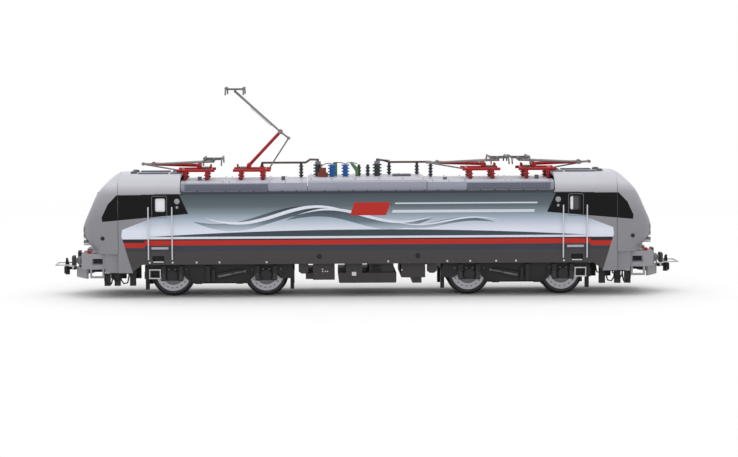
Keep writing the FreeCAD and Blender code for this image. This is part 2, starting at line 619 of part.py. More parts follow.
# ------------------------------------------------------------------ chassis, drive and electrics
chassis = body("chassis_frame")
box(chassis, ("-chassis_half", "chassis_half"), ("-rail_out", "rail_out"), ("plate_low", "plate_high"))
for end in ("-", ""):
    cut_box(chassis, (end + "pivot_x - opening_half", end + "pivot_x + opening_half"),
            ("-rail_in", "rail_in"),
            ("plate_low - 1", "plate_high + 1"))
    bridge = (end + "pivot_x - bridge_half", end + "pivot_x + bridge_half")
    box(chassis, bridge, ("-rail_out", "-rail_in"), ("plate_high - 0.2", "bridge_low + bridge_thick"))
    box(chassis, bridge, ("rail_in", "rail_out"), ("plate_high - 0.2", "bridge_low + bridge_thick"))
    box(chassis, bridge, ("-rail_out", "rail_out"), ("bridge_low", "bridge_low + bridge_thick"))
    pocket(chassis, "XY", [((end + "pivot_x", "0"), "kingpin_radius + running")], "bridge_low - 1",
           "bridge_low + bridge_thick + 1")
for low, high in (("-motor_half - flywheel_long - 2", "-motor_half - 0.8"),
                  ("motor_half + 0.8", "motor_half + flywheel_long + 2")):
    cut_box(chassis, (low, high), ("-flywheel_radius - 1", "flywheel_radius + 1"),
            ("plate_low - 1", "plate_high + 1"))

motor = body("motor_housing")
pad(motor, "YZ", [(("0", "worm_z"), "motor_radius")], "-motor_half", "motor_half")
for low, high in (("worm_z + motor_flat", "worm_z + motor_radius + 1"),
                  ("worm_z - motor_radius - 1", "plate_high")):
    cut_box(motor, ("-motor_half - 1", "motor_half + 1"), ("-motor_radius - 1", "motor_radius + 1"),
            (low, high))
pad(motor, "YZ", [(("0", "worm_z"), "shaft_radius * 3")], "-motor_half - bearing_long",
    "motor_half + bearing_long")
pocket(motor, "YZ", [(("0", "worm_z"), "shaft_radius + running")], "-motor_half - bearing_long - 1",
       "motor_half + bearing_long + 1")

rotor = body("motor_shaft")
pad(rotor, "YZ", [(("0", "worm_z"), "shaft_radius")], "-pivot_x + 9.5", "pivot_x - 9.5")
for low, high in (("-motor_half - bearing_long - 0.4 - flywheel_long", "-motor_half - bearing_long - 0.4"),
                  ("motor_half + bearing_long + 0.4", "motor_half + bearing_long + 0.4 + flywheel_long")):
    pad(rotor, "YZ", [(("0", "worm_z"), "flywheel_radius")], low, high)
for low, high in (("-pivot_x + 6.2", "-pivot_x + 9.6"), ("pivot_x - 9.6", "pivot_x - 6.2")):
    pad(rotor, "YZ", [(("0", "worm_z"), "ball_radius")], low, high)

board = body("circuit_board")
box(board, ("-board_half", "board_half"), ("-board_y", "board_y"), ("board_z", "board_z + board_thick"))
box(board, ("-12", "10"), ("-board_y + 3", "board_y - 3"), ("board_z + board_thick - 0.1", "board_z + 3.4"))
parts_row = [rectangle(ends, ("-board_y + 4", "board_y - 4"))
             for ends in (("-38", "-32"), ("-28", "-18"), ("16", "22"), ("26", "36"))]
pad(board, "XY", parts_row, "board_z + board_thick - 0.1", "board_z + 2.4")
pillars = [((x, y), "pillar_radius") for x in ("-board_half + 2", "board_half - 2")
           for y in ("-board_y + 2.5", "board_y - 2.5")]
pad(board, "XY", pillars, "bridge_low + bridge_thick", "board_z + 0.1")

# ------------------------------------------------------------------ bogies
def about_pivot(points):
    """Points of an outline given about the middle of the left bogie."""
    return [("-pivot_x + (%s)" % a, b) for a, b in points]


def level_box(low, high, bottom, top):
    return about_pivot(rectangle((low, high), (bottom, top)))


bogie = body("bogie_frame_left")
half_line = [("bogie_half", "9.5"), ("bogie_half", "7.0"), ("axle_half + 5.4", "7.0"),
             ("axle_half + 3.6", "horn_z"),
             ("axle_half + horn_half", "horn_z"), ("axle_half + horn_half", "box_low"),
             ("axle_half - horn_half", "box_low"), ("axle_half - horn_half", "horn_z"),
             ("axle_half - 3.6", "horn_z"),
             ("axle_half - 6.6", "frame_low")]
side_line = [("bogie_half - 1", "frame_top")] + half_line
side_line += [("-(%s)" % a, b) for a, b in reversed(side_line)]
# The step and its opening, the long and the short damper, and the sloping link.
shapes = [level_box("-bogie_half + 2", "-bogie_half + 6", "7.2", "10.6"),
          level_box("-bogie_half + 2.7", "-bogie_half + 5.3", "7.8", "9.9"),
          level_box("-4.8", "-3.4", "6.0", "frame_top - 0.2"),
          level_box("-2.6", "-1.6", "6.2", "10.6"),
          about_pivot([("-1.0", "9.0"), ("-1.0", "8.2"), ("8.0", "9.6"), ("8.0", "10.4")])]
springs = []
for axle in ("-axle_half", "axle_half"):
    shapes.append((("-pivot_x + " + axle, "axle_z + 0.2"), "cover_radius"))
    for side in (" - spring_x", " + spring_x"):
        ends = (axle + side + " - spring_radius", axle + side + " + spring_radius")
        shapes.append(level_box(*ends, "spring_top", "frame_top - 0.2"))
        shapes.append(level_box(*ends, "spring_low - 0.6", "spring_low"))
        for y in ("-frame_out - spring_out", "frame_out + spring_out"):
            springs.append((("-pivot_x + " + axle + side, y), "spring_radius - 0.05"))
for low, high, near, far in (("-frame_out", "-frame_in", "-frame_out - fitting_out", "-frame_out + 0.1"),
                             ("frame_in", "frame_out", "frame_out - 0.1", "frame_out + fitting_out")):
    pad(bogie, "XZ", [about_pivot(side_line)], low, high)
    pad(bogie, "XZ", shapes, near, far)
pad(bogie, "XY", springs, "spring_low - 0.1", "spring_top + 0.1")
beams = [about_pivot(rectangle(x, ("-frame_in - 0.1", "frame_in + 0.1")))
         for x in (("-bogie_half", "-bogie_half + 1.7"), ("bogie_half - 1.7", "bogie_half"))]
beams += [about_pivot(rectangle(("-2.4", "2.4"), y))
          for y in (("-frame_in - 0.1", "-gearbox_half"), ("gearbox_half", "frame_in + 0.1"))]
pad(bogie, "XY", beams, "9.6", "frame_top - 0.4")
irons = [about_pivot(rectangle((x + " - 0.7", x + " + 0.7"), y))
         for x in ("-bogie_half + 0.8", "bogie_half - 0.8") for y in (("-10.6", "-8.6"), ("8.6", "10.6"))]
pad(bogie, "XY", irons, "2.6", "9.7")
other_end(bogie, "bogie_frame_right")

gearbox = body("bogie_gearbox_left")
box(gearbox, ("-pivot_x - axle_half - 3", "-pivot_x + axle_half + 3"), ("-gearbox_half", "gearbox_half"),
    ("gearbox_low", "frame_top - 0.5"))
box(gearbox, ("-pivot_x - tower_half", "-pivot_x + tower_half"), ("-gearbox_half", "gearbox_half"),
    ("frame_top - 0.6", "tower_top"))
pad(gearbox, "XY", [(("-pivot_x", "0"), "kingpin_radius")], "tower_top - 0.1", "kingpin_top - 0.4")
for shift in ("- axle_half", "+ axle_half"):
    pocket(gearbox, "XZ", [(("-pivot_x %s" % shift, "axle_z"), "axle_radius + running")],
           "-gearbox_half - 1",
           "gearbox_half + 1")
pocket(gearbox, "YZ", [(("0", "worm_z"), "axle_radius + running")], "-pivot_x - 4",
       "-pivot_x + tower_half + 1")
other_end(gearbox, "bogie_gearbox_right")

worm = body("worm_shaft_left")
pad(worm, "YZ", [(("0", "worm_z"), "axle_radius")], "-pivot_x - 3.6", "-pivot_x + tower_half + 0.6")
pad(worm, "YZ", [(("0", "worm_z"), "cup_radius")], "-pivot_x + tower_half + 0.4",
    "-pivot_x + tower_half + cup_long + 0.6")
pocket(worm, "YZ", [(("0", "worm_z"), "cup_inner")], "-pivot_x + tower_half + 0.9",
       "-pivot_x + tower_half + cup_long + 1")
other_end(worm, "worm_shaft_right")


def wheelset(label, x):
    """An axle with two flanged wheels, turned in one profile about the axle's line."""
    made = body(label)
    inner, outer = "back_half", "back_half + wheel_width"
    half = [("0", "0"), (outer, "0"), (outer, "2.0"), (outer + " - disc_recess", "2.4"),
            (outer + " - disc_recess", "tread_radius - 1.0"), (outer, "tread_radius - 0.7"),
            (outer, "tread_radius - 0.1"), (inner + " + flange_width + 0.3", "tread_radius"),
            (inner + " + flange_width * 0.7", "flange_radius - 0.1"),
            (inner + " + flange_width * 0.3", "flange_radius"),
            (inner, "tread_radius - 0.3"), (inner, "axle_radius"), ("0", "axle_radius")]
    drawn = made.newObject("Sketcher::SketchObject", "outline")
    base = [o for o in made.Origin.OriginFeatures if o.Role == "YZ_Plane"][0]
    drawn.AttachmentSupport = [(base, "")]
    drawn.MapMode = "FlatFace"
    bind(drawn, ".AttachmentOffset.Base.z", x)
    line = Part.LineSegment
    polygon(drawn, [(a, "axle_z + (%s)" % b if b != "0" else "axle_z") for a, b in half])
    axis = drawn.addGeometry(line(vec(0, value("axle_z"), 0), vec(5, value("axle_z"), 0)), True)
    drawn.addConstraint(Sketcher.Constraint("Horizontal", axis))
    pin_point(drawn, axis, 1, "0", "axle_z")
    turn = made.newObject("PartDesign::Revolution", "Revolution")
    turn.Profile = drawn
    turn.ReferenceAxis = (drawn, ["Axis0"])
    turn.Angle = 360
    mirrored(made, [turn], "XZ")
    return made


for number, place in enumerate(("-pivot_x - axle_half", "-pivot_x + axle_half", "pivot_x - axle_half",
                                "pivot_x + axle_half"), 1):
    wheelset("wheelset_%d" % number, place)

# ------------------------------------------------------------------ underfloor equipment
tank = body("underfloor_tank")
box(tank, ("-tank_half", "tank_half"), ("-tank_y", "tank_y"), ("tank_low", "tank_top"))
box(tank, ("-tank_half + 2.6", "-tank_half + 8.6"), ("-tank_y", "tank_y"), ("tank_top - 0.1", "plate_low"))
box(tank, ("tank_half - 10", "tank_half - 1"), ("-tank_y + wall", "tank_y - wall"),
    ("tank_top - 0.1", "plate_low"))
rounded(tank, "edge_round", lambda e: along(e, "Y") and e.BoundBox.ZMin < value("tank_low") + 0.01)

cases = body("underfloor_cases")
box(cases, ("-case_left", "-case_right"), ("-tank_y", "tank_y"), ("case_low", "plate_low"))
box(cases, ("-case_left - 2.7", "-case_left + 0.1"), ("-tank_y + 1", "tank_y - 1"),
    ("case_low + 0.2", "tank_top"))
box(cases, ("relay_left", "relay_right"), ("-tank_y", "tank_y"), ("relay_low", "plate_low"))
box(cases, ("relay_right - 4.7", "relay_right - 1.3"), ("-tank_y + 1", "tank_y - 1"),
    ("skid_low", "relay_low + 0.1"))
for low, high in (("-rail_out - 0.1", "-rail_out + wall"), ("rail_out - wall", "rail_out + 0.1")):
    lugs = []
    for middle in ("-jack_x", "jack_x"):
        right, left = middle + " + jack_half", middle + " - jack_half"
        lugs.append([(left, "plate_low"), (left, "jack_low + 0.8"), (left + " + 1", "jack_low"),
                     (right + " - 1", "jack_low"), (right, "jack_low + 0.8"), (right, "plate_low")])
    pad(cases, "XZ", lugs, low, high)

# ------------------------------------------------------------------ couplers
pocket_box = body("coupler_pocket_left", listed=False)
box(pocket_box, ("-coupler_x - 0.5", "-apron_front - 0.4"), ("-2.3", "2.3"),
    ("coupler_z - 1.4", "crash_low + 1"))
cut_box(pocket_box, ("-coupler_x - 1", "-coupler_x + 2.2"), ("-3", "3"),
        ("coupler_z - 0.8", "coupler_z + 0.8"))
pad(pocket_box, "XY", [(("-coupler_x + 0.9", "0"), "0.6")], "coupler_z - 1.3", "coupler_z + 1.3")
both_ends(pocket_box, "coupler_pockets")

coupler = body("coupler_left")
box(coupler, ("-coupler_tip + 0.8", "-coupler_x + 0.9"), ("-0.9", "0.9"),
    ("coupler_z - 0.5", "coupler_z + 0.5"))
pad(coupler, "XY", [(("-coupler_x + 0.9", "0"), "1.25")], "coupler_z - 0.5", "coupler_z + 0.5")
pocket(coupler, "XY", [(("-coupler_x + 0.9", "0"), "0.6 + running")], "coupler_z - 1", "coupler_z + 1")
box(coupler, ("-coupler_tip", "-coupler_tip + 0.9"), ("-4.2", "4.2"),
    ("coupler_z - 1.6", "coupler_z + 0.9"))
pad(coupler, "XZ", [[("-coupler_tip", "coupler_z + 0.8"), ("-coupler_tip + 1.6", "coupler_z + 0.8"),
                     ("-coupler_tip + 0.9", "13.4"), ("-coupler_tip + 0.3", "13.6")]], "-0.8", "0.8")
box(coupler, ("-coupler_tip", "-coupler_tip + 1.6"), ("-0.8", "0.8"), ("7.4", "coupler_z"))
box(coupler, ("-loop_x - 0.5", "-loop_x + 0.5"), ("-loop_bearing", "loop_bearing"),
    ("coupler_z - 0.5", "coupler_z + 0.5"))
pocket(coupler, "XZ", [(("-loop_x", "coupler_z"), "loop_pin + running")], "-loop_bearing - 1",
       "-loop_bearing + 1.4")
pocket(coupler, "XZ", [(("-loop_x", "coupler_z"), "loop_pin + running")], "loop_bearing - 1.4",
       "loop_bearing + 1")
other_end(coupler, "coupler_right")

# the loop hangs on two round pins in the coupler's cross piece
loop = body("coupler_loop_left")
box(loop, ("-loop_tip", "-loop_tip + loop_bar"), ("-loop_half", "loop_half"),
    ("loop_z", "loop_z + loop_bar"))
for low, high in (("-loop_half", "-loop_half + loop_bar"), ("loop_half - loop_bar", "loop_half")):
    box(loop, ("-loop_tip", "-loop_x + loop_pin"), (low, high), ("loop_z", "loop_z + loop_bar"))
    box(loop, ("-loop_x - loop_pin", "-loop_x + loop_pin"), (low, high), ("coupler_z", "loop_z + loop_bar"))
    pad(loop, "XZ", [(("-loop_x", "coupler_z"), "loop_pin")], low, high)
pad(loop, "XZ", [(("-loop_x", "coupler_z"), "loop_pin")], "-loop_half", "-loop_bearing + 1.2")
pad(loop, "XZ", [(("-loop_x", "coupler_z"), "loop_pin")], "loop_bearing - 1.2", "loop_half")
other_end(loop, "coupler_loop_right")


# ------------------------------------------------------------------ pantographs
def joints_at(low_angle, high_angle):
    """Places of a pantograph's pivots at two arm angles, seen from the side: knee, crank end, head."""
    low, high = math.radians(low_angle), math.radians(high_angle)
    lead = high + math.radians(value("crank_lead"))
    knee = (value("lower_arm") * math.cos(low), value("lower_arm") * math.sin(low))
    crank = (knee[0] + value("crank") * math.cos(lead), knee[1] + value("crank") * math.sin(lead))
    head = (knee[0] + value("upper_arm") * math.cos(high), knee[1] + value("upper_arm") * math.sin(high))
    return knee, crank, head


def rod_foot():
    """The rod's fixed pivot: as far from the crank end when raised as when folded."""
    up = joints_at(value("raised_low"), value("raised_high"))[1]
    down = joints_at(value("folded_low"), value("folded_high"))[1]
    level = -value("rod_drop")
    reach = (up[0] ** 2 + (up[1] - level) ** 2) - (down[0] ** 2 + (down[1] - level) ** 2)
    foot = reach / (2 * (up[0] - down[0]))
    return foot, level, math.hypot(down[0] - foot, down[1] - level)


def turned_place(facing, centre, place, angle):
    """Where a piece drawn along +X goes, on a pantograph that faces +X or -X."""
    base = vec(centre + facing * (place[0] - value("pan_back")), 0, value("deck_z + pan_rise") + place[1])
    turn = FreeCAD.Rotation(vec(0, -1, 0), angle)
    if facing < 0:
        turn = FreeCAD.Rotation(vec(0, 0, 1), 180) * turn
    return FreeCAD.Placement(base, turn)


def local_bars(label, bars, place):
    pieces = [tube(vec(*first), vec(*second), radius) for first, second, radius in bars]
    made = joined("Part::MultiFuse", label, pieces)
    made.Placement = place
    return made


def pantograph(number, centre, facing, raised_up):
    mark = "_%d" % number
    low = value("raised_low" if raised_up else "folded_low")
    high = value("raised_high" if raised_up else "folded_high")
    knee, crank, head = joints_at(low, high)
    foot, level, length = rod_foot()
    half, side, frame = value("pan_base_half"), value("pan_base_y"), value("pan_base_z - deck_z - pan_rise")
    flat = turned_place(facing, centre, (0, 0), 0)
    back = value("pan_back")
    bars = []
    cross_back, cross_front = back - half + 1.6, back + half - 1.9
    foot_x, foot_low = value("insulator_x"), frame - value("foot_high")
    hinge = value("base_hinge")
    for y in (-side, side):
        bars.append(((back - half, y, frame), (back + half, y, frame), "pan_tube"))
        for x in (back - foot_x, back + foot_x):
            bars.append(((x, y, foot_low), (x, y, frame), "pan_tube * 1.3"))
    for x in (cross_back, cross_front):
        bars.append(((x, -side, frame), (x, side, frame), "pan_tube * 0.85"))
    for y in (-1, 1):
        bars.append(((0, hinge * y, frame), (0, hinge * y, 0), "pan_tube * 0.9"))
        bars.append(((0, (hinge - 1) * y, 0), (0, (hinge + 0.8) * y, 0), "pan_tube * 1.6"))
        bars.append(((cross_back, hinge * y, frame), (0, hinge * y, frame), "pan_tube * 0.7"))
        bars.append(((cross_back, 2.3 * y, frame), (cross_back, 2.3 * y, 0.4), "pan_tube * 0.5"))
    aside = value("rod_side")
    for y in (aside - 0.9, aside + 0.9):
        bars.append(((foot, y - 0.2, level), (foot, y + 0.2, level), "pan_tube * 1.2"))
        bars.append(((cross_front, y, frame), (foot, y, level), "pan_tube * 0.4"))
    local_bars("pantograph_base" + mark, bars, flat)

    reach = value("lower_arm")
    axle, hub = value("base_hinge - 1.3"), value("knee_hub")
    bars = [((0, 0, 0), (reach, 0, 0), "arm_tube"), ((0, -axle, 0), (0, axle, 0), "arm_tube * 1.5"),
            ((reach, -hub, 0), (reach, hub, 0), "arm_tube * 1.5")]
    local_bars("lower_arm" + mark, bars, turned_place(facing, centre, (0, 0), low))
    lead = math.radians(value("crank_lead"))
    tip = (value("crank") * math.cos(lead), value("crank") * math.sin(lead))
    reach = value("upper_arm")
    bars = []
    for y in (-1, 1):
        bars.append(((0, 1.1 * y, 0), (reach, 3.9 * y, 0), "upper_tube"))
        bars.append(((0, 1.1 * y, 0), (tip[0], 1.1 * y, tip[1]), "upper_tube"))
    bars.append(((reach, -4.1, 0), (reach, 4.1, 0), "upper_tube * 1.3"))
    bars.append(((tip[0], -1.3, tip[1]), (tip[0], -0.7, tip[1]), "upper_tube * 1.8"))
    bars.append(((tip[0], 0.7, tip[1]), (tip[0], 1.3, tip[1]), "upper_tube * 1.8"))
    bars.append(((0, -1.5, 0), (0, -1.0, 0), "arm_tube * 1.5"))
    bars.append(((0, 1.0, 0), (0, 1.5, 0), "arm_tube * 1.5"))
    bars.append(((15.0, -3.0, 0), (15.0, 3.0, 0), "upper_tube * 0.8"))
    local_bars("upper_arm" + mark, bars, turned_place(facing, centre, knee, high))

    angle = math.degrees(math.atan2(crank[1] - level, crank[0] - foot))
    bars = [((0, aside, 0), (length, aside, 0), "rod_tube"),
            ((0, aside - 0.4, 0), (0, aside + 0.4, 0), "rod_tube * 1.8"),
            ((length, aside - 0.3, 0), (length, aside + 0.3, 0), "rod_tube * 1.8")]
    local_bars("coupling_rod" + mark, bars, turned_place(facing, centre, (foot, level), angle))

    span, wide = value("head_half"), value("strip_half")
    link = value("head_link")
    bars = [((0, -link, 0.9), (0, link, 0.9), "horn_tube")]
    for y in (-link, link):
        bars.append(((0, y, 0), (0, y, 0.9), "horn_tube"))
        bars.append(((-span, y, 0.9), (span, y, 0.9), "horn_tube"))
    for x in (-span, span):
        bars.append(((x, -wide, 1.3), (x, wide, 1.3), "strip_wide / 2"))
        for y in (-1, 1):
            bars.append(((x, wide * y, 1.3), (x, (wide + 2.4) * y, 0.7), "horn_tube"))
            bars.append(((x, (wide + 2.4) * y, 0.7), (x, (wide + 3.9) * y, -1.0), "horn_tube"))
    local_bars("collector_head" + mark, bars, turned_place(facing, centre, head, 0))


insulators = body("pantograph_insulators")
feet = []
for middle in ("-pan_outer", "-pan_inner", "pan_inner", "pan_outer"):
    for x in (middle + " - insulator_x", middle + " + insulator_x"):
        feet += [(x, "-pan_base_y"), (x, "pan_base_y")]
sheds(insulators, feet, "deck_z", "pan_base_z - foot_high", "insulator_radius", 2)

pantograph(1, -value("pan_outer"), -1, False)
pantograph(2, -value("pan_inner"), 1, True)
pantograph(3, value("pan_inner"), -1, False)
pantograph(4, value("pan_outer"), 1, False)

# ------------------------------------------------------------------ check and write
doc.recompute()
faults = [o.Name for o in doc.Objects if "Invalid" in o.State or "Error" in o.State]
for label, made in NODES.items():
    shape = made.Shape
    if shape.isNull() or not shape.isValid() or not shape.Solids:
        faults.append(label)
        continue
    shape.exportStep("parts/%s.step" % label)
if faults:
    raise SystemExit("faulty pieces: " + ", ".join(faults))
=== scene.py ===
import json
import math

import bmesh
import bpy
from mathutils import Matrix, Vector


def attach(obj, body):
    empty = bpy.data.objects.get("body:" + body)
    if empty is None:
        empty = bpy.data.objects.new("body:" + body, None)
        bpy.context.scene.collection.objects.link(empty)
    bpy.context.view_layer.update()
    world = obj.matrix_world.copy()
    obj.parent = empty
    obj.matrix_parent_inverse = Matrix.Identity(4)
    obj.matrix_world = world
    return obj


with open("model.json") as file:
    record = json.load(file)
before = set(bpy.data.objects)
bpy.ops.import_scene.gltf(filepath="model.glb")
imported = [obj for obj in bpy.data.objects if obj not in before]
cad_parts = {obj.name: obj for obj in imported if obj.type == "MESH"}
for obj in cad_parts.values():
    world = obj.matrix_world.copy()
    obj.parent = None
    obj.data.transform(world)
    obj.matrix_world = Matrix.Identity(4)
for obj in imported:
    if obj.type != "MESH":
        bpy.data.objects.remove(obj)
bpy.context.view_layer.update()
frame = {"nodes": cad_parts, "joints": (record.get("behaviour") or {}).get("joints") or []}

MM = 0.001
ENDS = (-1, 1)


# ------------------------------------------------------------ chassis, board and drive
# A die-cast chassis carries the motor, its flywheels and the circuit board. Cast metal is
# left dark, turned parts are bright, and the board is green lacquer on glass fibre.
class Shade:
    """A number that changes over a surface, with ordinary arithmetic on it."""

    def __init__(self, finish, socket):
        self.finish, self.socket = finish, socket

    def maths(self, operation, *others):
        terms = dict(enumerate((self,) + others))
        made = self.finish.node("ShaderNodeMath", {"operation": operation}, terms)
        return Shade(self.finish, made.outputs[0])

    def __add__(self, other):
        return self.maths("ADD", other)

    __radd__ = __add__

    def __sub__(self, other):
        return self.maths("SUBTRACT", other)

    def __rsub__(self, other):
        return self * -1.0 + other

    def __mul__(self, other):
        return self.maths("MULTIPLY", other)

    __rmul__ = __mul__

    def __gt__(self, other):
        return self.maths("GREATER_THAN", other)

    def __lt__(self, other):
        return self.maths("LESS_THAN", other)

    def __abs__(self):
        return self.maths("ABSOLUTE")

    def between(self, low, high):
        return (self > low) * (self < high)


class Finish:
    """The nodes of one material: where its surface lies, in millimetres, and what colours it."""

    def __init__(self, name):
        self.material = bpy.data.materials.new(name)
        self.material.use_nodes = True
        self.tree = self.material.node_tree
        self.shader = self.tree.nodes["Principled BSDF"]
        self.where = self.node("ShaderNodeTexCoord", {}, {}).outputs["Object"]
        split = self.node("ShaderNodeSeparateXYZ", {}, {"Vector": self.where})
        self.x, self.y, self.z = (Shade(self, socket) * 1000.0 for socket in split.outputs)

    def node(self, kind, settings, inputs):
        made = self.tree.nodes.new(kind)
        for name, value in settings.items():
            if name == "stops":
                set_stops(made.color_ramp.elements, value)
            else:
                setattr(made, name, value)
        for name, value in inputs.items():
            self.feed(made.inputs[name], value)
        return made

    def feed(self, socket, value):
        if isinstance(value, Shade):
            value = value.socket
        if isinstance(value, bpy.types.NodeSocket):
            self.tree.links.new(value, socket)
        else:
            socket.default_value = value

    def cloud(self, scale):
        made = self.node("ShaderNodeTexNoise", {}, {"Vector": self.where, "Scale": scale, "Detail": 3.0})
        return Shade(self, made.outputs[0])

    def mix(self, mask, first, second):
        return self.node("ShaderNodeMix", {"data_type": "RGBA"}, {0: mask, 6: first, 7: second}).outputs[2]

    def bands(self, height, stops):
        """Colours along a height, given as (height, 8-bit colour) pairs from the lowest up."""
        low, high = stops[0][0], stops[-1][0]
        places = [((place - low) / (high - low), paint(colour)) for place, colour in stops]
        part = (height - low) * (1.0 / (high - low))
        return self.node("ShaderNodeValToRGB", {"stops": places}, {0: part}).outputs[0]

    def colour(self, hue, rough, metal=0.0, coat=0.0, tone=0.05, grain=0.12, shine=0.25):
        """Coat the surface: slight changes of tone and gloss over it, and a fine grain."""
        cloudy = self.cloud(90.0) * (2 * tone) + (1 - tone)
        vector = hue[:3] if isinstance(hue, tuple) else hue
        toned = self.node("ShaderNodeVectorMath", {"operation": "SCALE"}, {0: vector, "Scale": cloudy})
        self.feed(self.shader.inputs["Base Color"], toned.outputs[0])
        self.feed(self.shader.inputs["Roughness"], self.cloud(400.0) * 0.16 + (rough - 0.08))
        self.shader.inputs["Metallic"].default_value = metal
        self.shader.inputs["Coat Weight"].default_value = coat
        self.shader.inputs["Specular IOR Level"].default_value = shine
        self.feed(self.shader.inputs["Normal"], self.node("ShaderNodeBump", {}, {
            "Strength": grain, "Distance": 0.02 * MM, "Height": self.cloud(3500.0)}).outputs[0])
        return self.material


def set_stops(elements, stops):
    """Set a ramp's stops; the first lies at 0 and the last at 1."""
    elements[0].color = stops[0][1]
    elements[-1].color = stops[-1][1]
    for place, colour in stops[1:-1]:
        elements.new(place).color = colour


def paint(colour):
    """An 8-bit colour as linear red, green, blue and alpha."""
    return tuple(((c / 255 + 0.055) / 1.055) ** 2.4 if c > 10 else c / 255 / 12.92 for c in colour) + (1.0,)


def moulded(name, colour, rough=0.45, metal=0.0, coat=0.0, patches=(), **grades):
    """One plain finish. Each patch is a function of the finish that gives a mask, and a colour."""
    finish = Finish(name)
    hue = paint(colour)
    for covers, other in patches:
        hue = finish.mix(covers(finish), hue, paint(other))
    return finish.colour(hue, rough, metal, coat, **grades)


def dress(node, material):
    """Give a whole solid one material."""
    mesh = frame["nodes"][node].data
    mesh.materials.clear()
    mesh.materials.append(material)


cast_black = moulded("cast_black", (36, 36, 38), rough=0.6, tone=0.1)
turned_steel = moulded("turned_steel", (176, 176, 180), rough=0.3, metal=0.9)
brass = moulded("brass", (186, 150, 84), rough=0.3, metal=0.9)
dress("chassis_frame", cast_black)
dress("motor_housing", moulded("motor_can", (136, 136, 140), rough=0.35, metal=0.85, patches=[
    (lambda f: abs(f.x) > 12.4, (38, 38, 40)), (lambda f: abs(f.x).between(11.9, 12.4), (176, 122, 70))]))
dress("motor_shaft", turned_steel)
dress("circuit_board", moulded("board_lacquer", (24, 84, 52), rough=0.35, patches=[
    (lambda f: f.z > 28.9, (30, 30, 32)),
    (lambda f: (f.z < 28.7) * (abs(f.y) > 8.2) * ((f.x * 1.6).maths("SINE") > 0.2), (196, 168, 96))]))
for side in ("left", "right"):
    dress("worm_shaft_" + side, brass)
    dress("bogie_gearbox_" + side, moulded("gearbox_black_" + side, (30, 30, 31), rough=0.45))


# ------------------------------------------------------------ bogies
# Each bogie frame is moulded in dark plastic with its brake gear, axle covers and guard irons.
# Coil springs stand over the axles, screw heads sit on the side members, and the two treads
# of the step at its outer end are picked out in white.
def fitted(name, shape, material, body, smooth=False):
    """Turn a mesh in millimetres into a piece that rides on a body."""
    bmesh.ops.recalc_face_normals(shape, faces=shape.faces)
    bmesh.ops.scale(shape, vec=(MM, MM, MM), verts=shape.verts)
    mesh = bpy.data.meshes.new(name)
    shape.to_mesh(mesh)
    shape.free()
    mesh.polygons.foreach_set("use_smooth", [smooth] * len(mesh.polygons))
    mesh.materials.append(material)
    piece = bpy.data.objects.new(name, mesh)
    bpy.context.scene.collection.objects.link(piece)
    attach(piece, body)


def block(shape, low, high, edge=0.08):
    """Add a box with rounded edges to a mesh."""
    low, high = Vector(low), Vector(high)
    made = bmesh.ops.create_cube(shape, size=1.0)["verts"]
    size = high - low
    for vert in made:
        vert.co = (low + high) / 2 + Vector([c * s for c, s in zip(vert.co, size)])
    edges = {e for vert in made for e in vert.link_edges}
    bmesh.ops.bevel(shape, geom=list(edges), offset=min([edge] + [abs(s) * 0.3 for s in size]), segments=2,
                    affect="EDGES", profile=0.5)


def repeated(name, seats, sizes, unit, material, body, turn=(0.0, 0.0, 0.0)):
    """Set one small unit at each seat with a Geometry Nodes tree, and keep the result as a plain mesh."""
    points = bpy.data.meshes.new(name)
    points.from_pydata([Vector(seat) * MM for seat in seats], [], [])
    piece = bpy.data.objects.new(name, points)
    bpy.context.scene.collection.objects.link(piece)
    tree = bpy.data.node_groups.new(name, "GeometryNodeTree")
    tree.interface.new_socket("Seats", in_out="INPUT", socket_type="NodeSocketGeometry")
    inputs = {size: tree.interface.new_socket(size, in_out="INPUT", socket_type="NodeSocketFloat")
              for size in sizes}
    tree.interface.new_socket("Pieces", in_out="OUTPUT", socket_type="NodeSocketGeometry")
    entry, leave = tree.nodes.new("NodeGroupInput"), tree.nodes.new("NodeGroupOutput")
    copies = tree.nodes.new("GeometryNodeInstanceOnPoints")
    copies.inputs["Rotation"].default_value = turn
    real = tree.nodes.new("GeometryNodeRealizeInstances")
    coat = tree.nodes.new("GeometryNodeSetMaterial")
    coat.inputs["Material"].default_value = material
    tree.links.new(entry.outputs["Seats"], copies.inputs["Points"])
    tree.links.new(unit(tree, entry.outputs), copies.inputs["Instance"])
    tree.links.new(copies.outputs[0], real.inputs[0])
    tree.links.new(real.outputs[0], coat.inputs[0])
    tree.links.new(coat.outputs[0], leave.inputs[0])
    pattern = piece.modifiers.new(name, "NODES")
    pattern.node_group = tree
    for size, socket in inputs.items():
        pattern[socket.identifier] = sizes[size] * MM
    mesh = bpy.data.meshes.new_from_object(piece.evaluated_get(bpy.context.evaluated_depsgraph_get()))
    piece.modifiers.clear()
    piece.data = mesh
    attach(piece, body)


def screw_head(tree, sizes):
    """A low round head, seen end on."""
    head = tree.nodes.new("GeometryNodeMeshCylinder")
    head.inputs["Vertices"].default_value = 12
    tree.links.new(sizes["Radius"], head.inputs["Radius"])
    tree.links.new(sizes["Height"], head.inputs["Depth"])
    return head.outputs["Mesh"]


